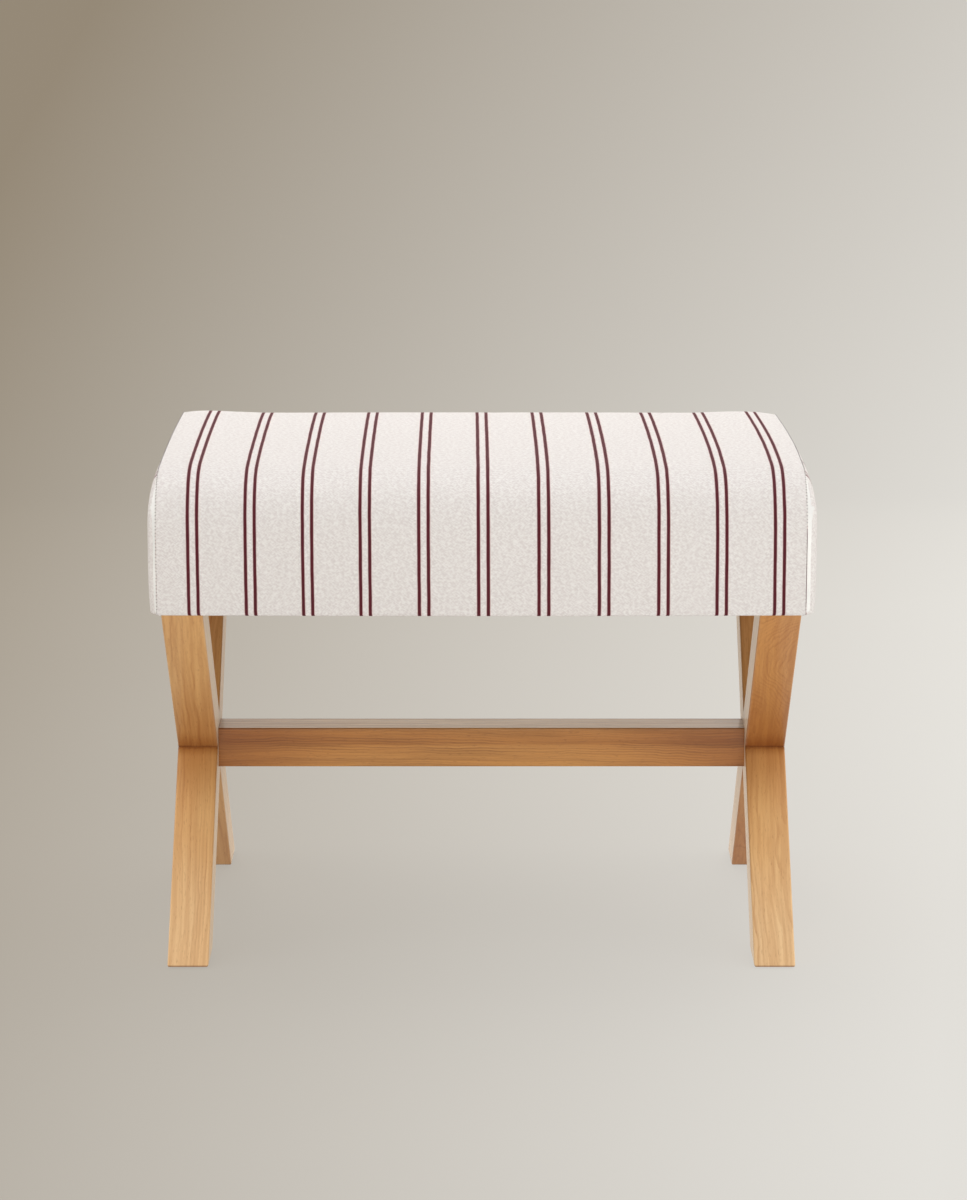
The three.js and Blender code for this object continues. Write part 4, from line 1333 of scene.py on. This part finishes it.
def build_legs():
    """All four legs, each from its own plank: pith, tilt, ring width, wander, curl, depth and swirl."""
    planks = {
        ("left", 1): ((0.062, 0.016, 0.31), 0.015, 0.0040, 0.018, 0.002, 0.0),
        ("left", -1): ((0.055, -0.02, 0.73), -0.02, 0.0038, 0.02, 0.002, 0.03),
        ("right", 1): ((-0.03, 0.05, 1.19), 0.03, 0.0040, 0.02, 0.002, -0.03),
        ("right", -1): ((0.008, -0.036, 1.71), -0.06, 0.0022, 0.03, 0.0035, 0.5, 0.04),
    }
    for (word, lean), plank in planks.items():
        side = SIDES[word]
        foot = "front" if lean > 0 else "rear"
        name = f"{word}_leg_{foot}_foot"
        material = leg_wood(f"beech_{name}", side, lean, *plank)
        piece = leg(side, lean)
        piece.name = name
        mount(piece, f"{name}_wood", material, "leg_wood", name)


def build_fittings():
    """Stretcher, glides, caps, bars, bolts and washers."""
    # The stretcher's deeper tones are partly its own darker wood and partly painted shade from the seat
    # above it.
    rail_tones_with_seat_shade = ((0.57, 0.268, 0.067), (0.15, 0.045, 0.008), (0.12, 0.035, 0.008))
    rail_place = ((0, math.pi / 2, 0), (0.012, 0.05, 0.4), 0.0024, 0.02, 0.002)
    rail_wood = wood("beech_stretcher", *rail_place, tones=rail_tones_with_seat_shade, contrast=0.95)
    mount(stretcher(), "stretcher_wood", rail_wood, "stretcher_wood", "stretcher")
    plastic = plain("brown_plastic", (0.05, 0.035, 0.026), (0.03, 0.02, 0.015), (0.42, 0.6))
    cap_plastic = plain("tan_plastic", (0.45, 0.25, 0.11), (0.38, 0.2, 0.085), (0.4, 0.55))
    zinc = plain("zinc_plate", (0.60, 0.61, 0.63), (0.50, 0.51, 0.54), (0.24, 0.4), 1.0, 500.0, 0.00001)
    black = ((0.02, 0.02, 0.022), (0.012, 0.012, 0.013))
    powder = plain("black_powder_coat", *black, (0.38, 0.55), 0.0, 1600.0)
    foot, cap, bar, bolt, ring = glide(), bolt_cap(), mounting_bar(), seat_bolt(), washer()
    for word, side in SIDES.items():
        x = side * LEG_X
        disc = moved(along_x(copy_of(cap), side), side * (LEG_X + LEG_WIDTH / 2), 0, RAIL_Z)
        mount(disc, f"{word}_bolt_cap_disc", cap_plastic, "cap_plastic", f"{word}_bolt_cap")
        mount(copy_of(bar, x), f"{word}_flat_bar", powder, "black_steel", f"{word}_mounting_bar")
        for end_word, end in ENDS.items():
            part = f"{word}_{end_word}"
            pad = copy_of(foot, x, end * FOOT_Y)
            mount(pad, f"{part}_foot_glide", plastic, "glide_plastic", f"{part}_glide")
            y = end * SEAT_BOLT_SPACING / 2
            screw = copy_of(bolt, x, y)
            mount(screw, f"{part}_button_bolt", zinc, "bright_steel", f"{part}_seat_bolt")
            disc = copy_of(ring, x, y)
            mount(disc, f"{part}_flat_washer", zinc, "bright_steel", f"{part}_bolt_washer")
    for model in (foot, cap, bar, bolt, ring):
        bpy.data.objects.remove(model)
    return zinc


def build_hidden(zinc):
    """Finishes for the pieces inside that keep the frame's shape."""
    pine_tones = ((0.66, 0.48, 0.27), (0.50, 0.31, 0.14), (0.36, 0.2, 0.09))
    pine = {"tones": pine_tones, "lacquer_and_shade": False}
    along = {
        "x": wood("pine_along_width", (0, math.pi / 2, 0), (0.03, 0.08, 0), 0.0035, 0.02, **pine),
        "y": wood("pine_along_depth", (math.pi / 2, 0, 0), (0.07, 0.03, 0), 0.0035, 0.02, **pine),
        "z": wood("pine_upright", (0, 0, 0), (0.02, 0.05, 0), 0.003, 0.01, **pine),
    }
    ply = plywood("plywood_layers")
    for name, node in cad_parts.items():
        if node.hide_render:
            continue
        if name == "seat_deck":
            material, slot = ply, "plywood"
        elif name.endswith("_rail"):
            lengthwise = "x" if name in ("seat_front_rail", "seat_rear_rail") else "y"
            material, slot = along[lengthwise], "rail_wood"
        elif name.endswith("_block"):
            material, slot = along["z"], "rail_wood"
        elif name.endswith("_dowel"):
            material, slot = along["x"], "rail_wood"
        else:
            material, slot = zinc, "bright_steel"
        for material_slot in node.material_slots:
            material_slot.material = material


def build_seat():
    """The striped cover in three panels with its seams and their threads, giving back the form for the
    padding below it.
    """
    main, panels, front_rows, top_rows = cut_form(bottom=CLOTH_BOTTOM + HEM_START)
    main, panels = stuffed(main, panels, front_rows, top_rows)

    full, across, down = main_panel(main)
    across += CLOTH_PULL * np.cos(2 * math.pi * (across + CLOTH_PULL_PLACE) / CLOTH_PULL_LENGTH)
    rows, columns = full.shape[:2]
    numbers = np.arange(rows * columns).reshape(rows, columns)
    cover = mesh_piece(full.reshape(-1, 3), grid_faces(numbers))
    askew = CLOTH_SKEW * (down / down[-1] - 0.5)
    map_cloth(cover, np.tile(across, rows) + np.repeat(askew, columns), np.repeat(down, columns))
    sew(cover)
    mount(cover, "seat_main_panel", striped_cloth("striped_twill"), "striped_cloth", "seat_cover_main")

    side_cloth = striped_cloth("striped_twill_sides", SIDE_STRIPE_OFFSET)
    # The thread's dark grey is partly its own colour and partly a painted shadow of the stitches in the
    # seam's groove.
    seam_shadow_grey = ((0.36, 0.33, 0.33), (0.27, 0.245, 0.25))
    thread = plain("grey_thread_as_seam_shadow", *seam_shadow_grey, (0.75, 0.9), 0.0, 2500.0)
    for word, side in SIDES.items():
        points, faces, weave = side_panel(panels[side], side)
        panel = mesh_piece(points, faces)
        map_cloth(panel, *weave.T)
        sew(panel)
        mount(panel, f"seat_{word}_panel", side_cloth, "striped_cloth", f"seat_cover_{word}_side")
        mount(seam_stitches(main, side), f"seat_{word}_seam_thread", thread, "striped_cloth")
    return main, panels, front_rows, top_rows


def build_padding(form):
    """Wadding under the cloth, open below, and the foam on the deck."""
    points, faces, rim, *_ = sewn_form(*form)
    wadding = mesh_piece(points, faces)
    inward = np.array([v.normal for v in wadding.data.vertices]) * (CLOTH + WADDING_GAP)
    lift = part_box("seat_wadding")[0].z - CLOTH_BOTTOM
    for vertex, step in zip(wadding.data.vertices, inward):
        vertex.co -= Vector(step)
        vertex.co.z = max(vertex.co.z, CLOTH_BOTTOM + lift)
    use_modifier(wadding, "SOLIDIFY", thickness=WADDING_THICKNESS, offset=-1.0)
    smooth(wadding, weighted=False)
    white = ((0.86, 0.86, 0.84), (0.74, 0.74, 0.73))
    fibre = plain("white_fibre", *white, (0.9, 1.0), 0.0, 260.0, 0.0008)
    mount(wadding, "seat_wadding_wrap", fibre, "wadding", "seat_wadding")

    points, faces, rim, *_ = sewn_form(*cut_form(CORE_INSET, FOAM_LOW.z, 0.0))
    foam = mesh_piece(points, [*faces, rim[::-1]])
    smooth(foam, weighted=False)
    yellow = ((0.82, 0.74, 0.46), (0.72, 0.63, 0.36))
    cells = plain("open_cell_foam", *yellow, (0.85, 0.98), 0.0, 1200.0, 0.0004)
    mount(foam, "seat_foam_slab", cells, "foam", "seat_foam")


def build_dust_cover(zinc):
    """The black cloth under the seat, slightly slack between its fixings, and its staples."""
    width, depth = DUST_HIGH.x - DUST_LOW.x, DUST_HIGH.y - DUST_LOW.y
    middle = (0, 0, DUST_HIGH.z)
    bpy.ops.mesh.primitive_grid_add(x_subdivisions=72, y_subdivisions=48, size=1, location=middle)
    sheet = bpy.context.object
    sheet.scale = (width, depth, 1)
    settle(sheet)
    free_x = LEG_X - LEG_WIDTH / 2 - STAPLE_WIRE
    free_y = DUST_HIGH.y - 2 * STAPLE_INSET
    for vertex in sheet.data.vertices:
        x, y = vertex.co.x / free_x, vertex.co.y / free_y
        inside = max(0.0, 1 - x * x) * max(0.0, 1 - y * y)
        ripple = 0.12 * noise.noise(Vector((x * 4, y * 3, 0.5)))
        vertex.co.z -= DUST_SAG * inside * (1 + ripple)
    thickness = DUST_HIGH.z - DUST_LOW.z
    use_modifier(sheet, "SOLIDIFY", thickness=thickness, offset=-1.0)
    for side in SIDES.values():
        for end in ENDS.values():
            place = (side * LEG_X, end * SEAT_BOLT_SPACING / 2)
            low, high = DUST_LOW.z - OVERRUN, DUST_HIGH.z + OVERRUN
            cut(sheet, leg_rod(SEAT_BOLT_DIAMETER, low, high, place, sides=16))
    smooth(sheet, weighted=False)
    mount(sheet, "dust_cover_sheet", dust_cloth("black_nonwoven"), "black_cloth", "dust_cover")

    model = staple()
    level = DUST_LOW.z
    places = []
    count = int((free_x - STAPLE_WIDTH) / STAPLE_SPACING)
    for end in ENDS.values():
        y = end * (DUST_HIGH.y - STAPLE_INSET)
        places += [(k * STAPLE_SPACING, y, 0.0) for k in range(-count, count + 1)]
    inner = LEG_X - LEG_WIDTH / 2 + STAPLE_WIRE * 2
    count = int((DUST_HIGH.y - 4 * STAPLE_INSET) / STAPLE_SPACING)
    for side in SIDES.values():
        places += [(side * inner, k * STAPLE_SPACING, 1.0) for k in range(-count, count + 1)]
    staples = []
    for k, (x, y, turn) in enumerate(places):
        one = copy_of(model)
        askew = 0.06 * math.sin(k * 2.3)
        one.rotation_euler.z = turn * math.pi / 2 + askew
        staples.append(moved(one, x, y, level))
    bpy.data.objects.remove(model)
    group = mount(joined(staples), "dust_cover_staples", zinc, "bright_steel")


def build_stage():
    """A pale floor that curves up into a backdrop, glowing with a painted light that is graded across it.
    """
    material, tree, shader = finish("pale_backdrop")
    place = put(tree, "ShaderNodeTexCoord").outputs["Object"]
    x, y, z = put(tree, "ShaderNodeSeparateXYZ", {0: place}).outputs
    # Painted light: the glow is darker toward the top, the back and the left, with faint broad patches.
    level = calc(tree, "MULTIPLY_ADD", y, -0.055, 0.66)
    level = calc(tree, "MULTIPLY_ADD", z, -0.30, level)
    slope = calc(tree, "MULTIPLY_ADD", y, -0.095, 0.75)
    level = calc(tree, "MULTIPLY_ADD", x, slope, level, clamp=True)
    patches = calc(tree, "MULTIPLY_ADD", grained(tree, place, 0.8, 2.0), 0.05, -0.025)
    level = calc(tree, "ADD", level, patches, clamp=True)
    colour = mixed(tree, level, STAGE_DIM, STAGE_PALE)
    painted = mixed(tree, 1.0, colour, (STAGE_PAINT,) * 3, "MULTIPLY")
    tree.links.new(painted, shader.inputs["Base Color"])
    tree.links.new(colour, shader.inputs["Emission Color"])
    shader.inputs["Emission Strength"].default_value = STAGE_GLOW
    shader.inputs["Roughness"].default_value = 0.9
    shader.inputs["Specular IOR Level"].default_value = 0.1
    start, radius, top = 1.4, 1.3, 4.5
    turns = np.linspace(0, math.pi / 2, 24)
    curve = [(start + radius * math.sin(t), radius * (1 - math.cos(t))) for t in turns]
    line = [(-6.0, 0.0), *curve, (start + radius, top)]
    points = [(x, y, z) for x in (-6.0, 6.0) for y, z in line]
    count = len(line)
    faces = [(i + count, i + count + 1, i + 1, i) for i in range(count - 1)]
    floor = mesh_piece(points, faces)
    floor.name = "floor_and_backdrop"
    floor.data.materials.append(material)
    pick(floor)
    bpy.ops.object.shade_smooth()


def build_camera():
    data = bpy.data.cameras.new("camera")
    data.lens = SENSOR_MM * FOCAL_PIXELS / PHOTO_HEIGHT_PIXELS
    data.sensor_width = SENSOR_MM
    camera = bpy.data.objects.new("camera", data)
    camera.location = CAMERA_PLACE
    camera.rotation_euler = (math.radians(90 - CAMERA_PITCH_DEG), 0, 0)
    bpy.context.scene.collection.objects.link(camera)
    bpy.context.scene.camera = camera


def softbox(name, place, target, size, watts, colour=(1, 1, 1)):
    data = bpy.data.lights.new(name, "AREA")
    data.shape = "RECTANGLE"
    data.size, data.size_y = size
    data.energy = watts
    data.color = colour
    light = bpy.data.objects.new(name, data)
    light.location = place
    light.rotation_euler = (Vector(target) - Vector(place)).to_track_quat("-Z", "Y").to_euler()
    light.visible_camera = False
    bpy.context.scene.collection.objects.link(light)


def build_lights():
    """Broad lights above, in front, low before the stool, behind it and at its sides, and an even sky."""
    seat = (0, 0, 0.4)
    softbox("top_softbox", (0, 0.9, 2.6), seat, (2.8, 1.8), 44.5, (1.0, 0.99, 0.99))
    softbox("front_softbox", (0.12, -4.4, 0.55), seat, (3.2, 1.0), 31, (1.0, 0.98, 0.95))
    softbox("low_softbox", (0.1, -1.75, 0.03), (0.1, -1.7, 1), (2.8, 1.4), 32, (1.0, 0.98, 0.95))
    softbox("back_softbox", (0, 1.7, 0.6), (0, 0, 0.3), (3.4, 0.9), 7, (1.0, 0.93, 0.84))
    softbox("left_softbox", (-2.4, -0.2, 0.9), seat, (2.2, 1.6), 17, (1.0, 0.96, 0.9))
    softbox("right_softbox", (2.4, -0.2, 0.9), seat, (2.2, 1.6), 17, (1.0, 0.96, 0.9))
    world = bpy.data.worlds.new("even_sky")
    world.use_nodes = True
    world.node_tree.nodes["Background"].inputs["Color"].default_value = (1.0, 0.99, 0.97, 1)
    world.node_tree.nodes["Background"].inputs["Strength"].default_value = 0.69
    bpy.context.scene.world = world
    bpy.context.scene.view_settings.view_transform = "Standard"


deselect()
build_camera()
build_lights()
build_stage()
build_legs()
zinc_plate = build_fittings()
build_padding(build_seat())
build_dust_cover(zinc_plate)
build_hidden(zinc_plate)
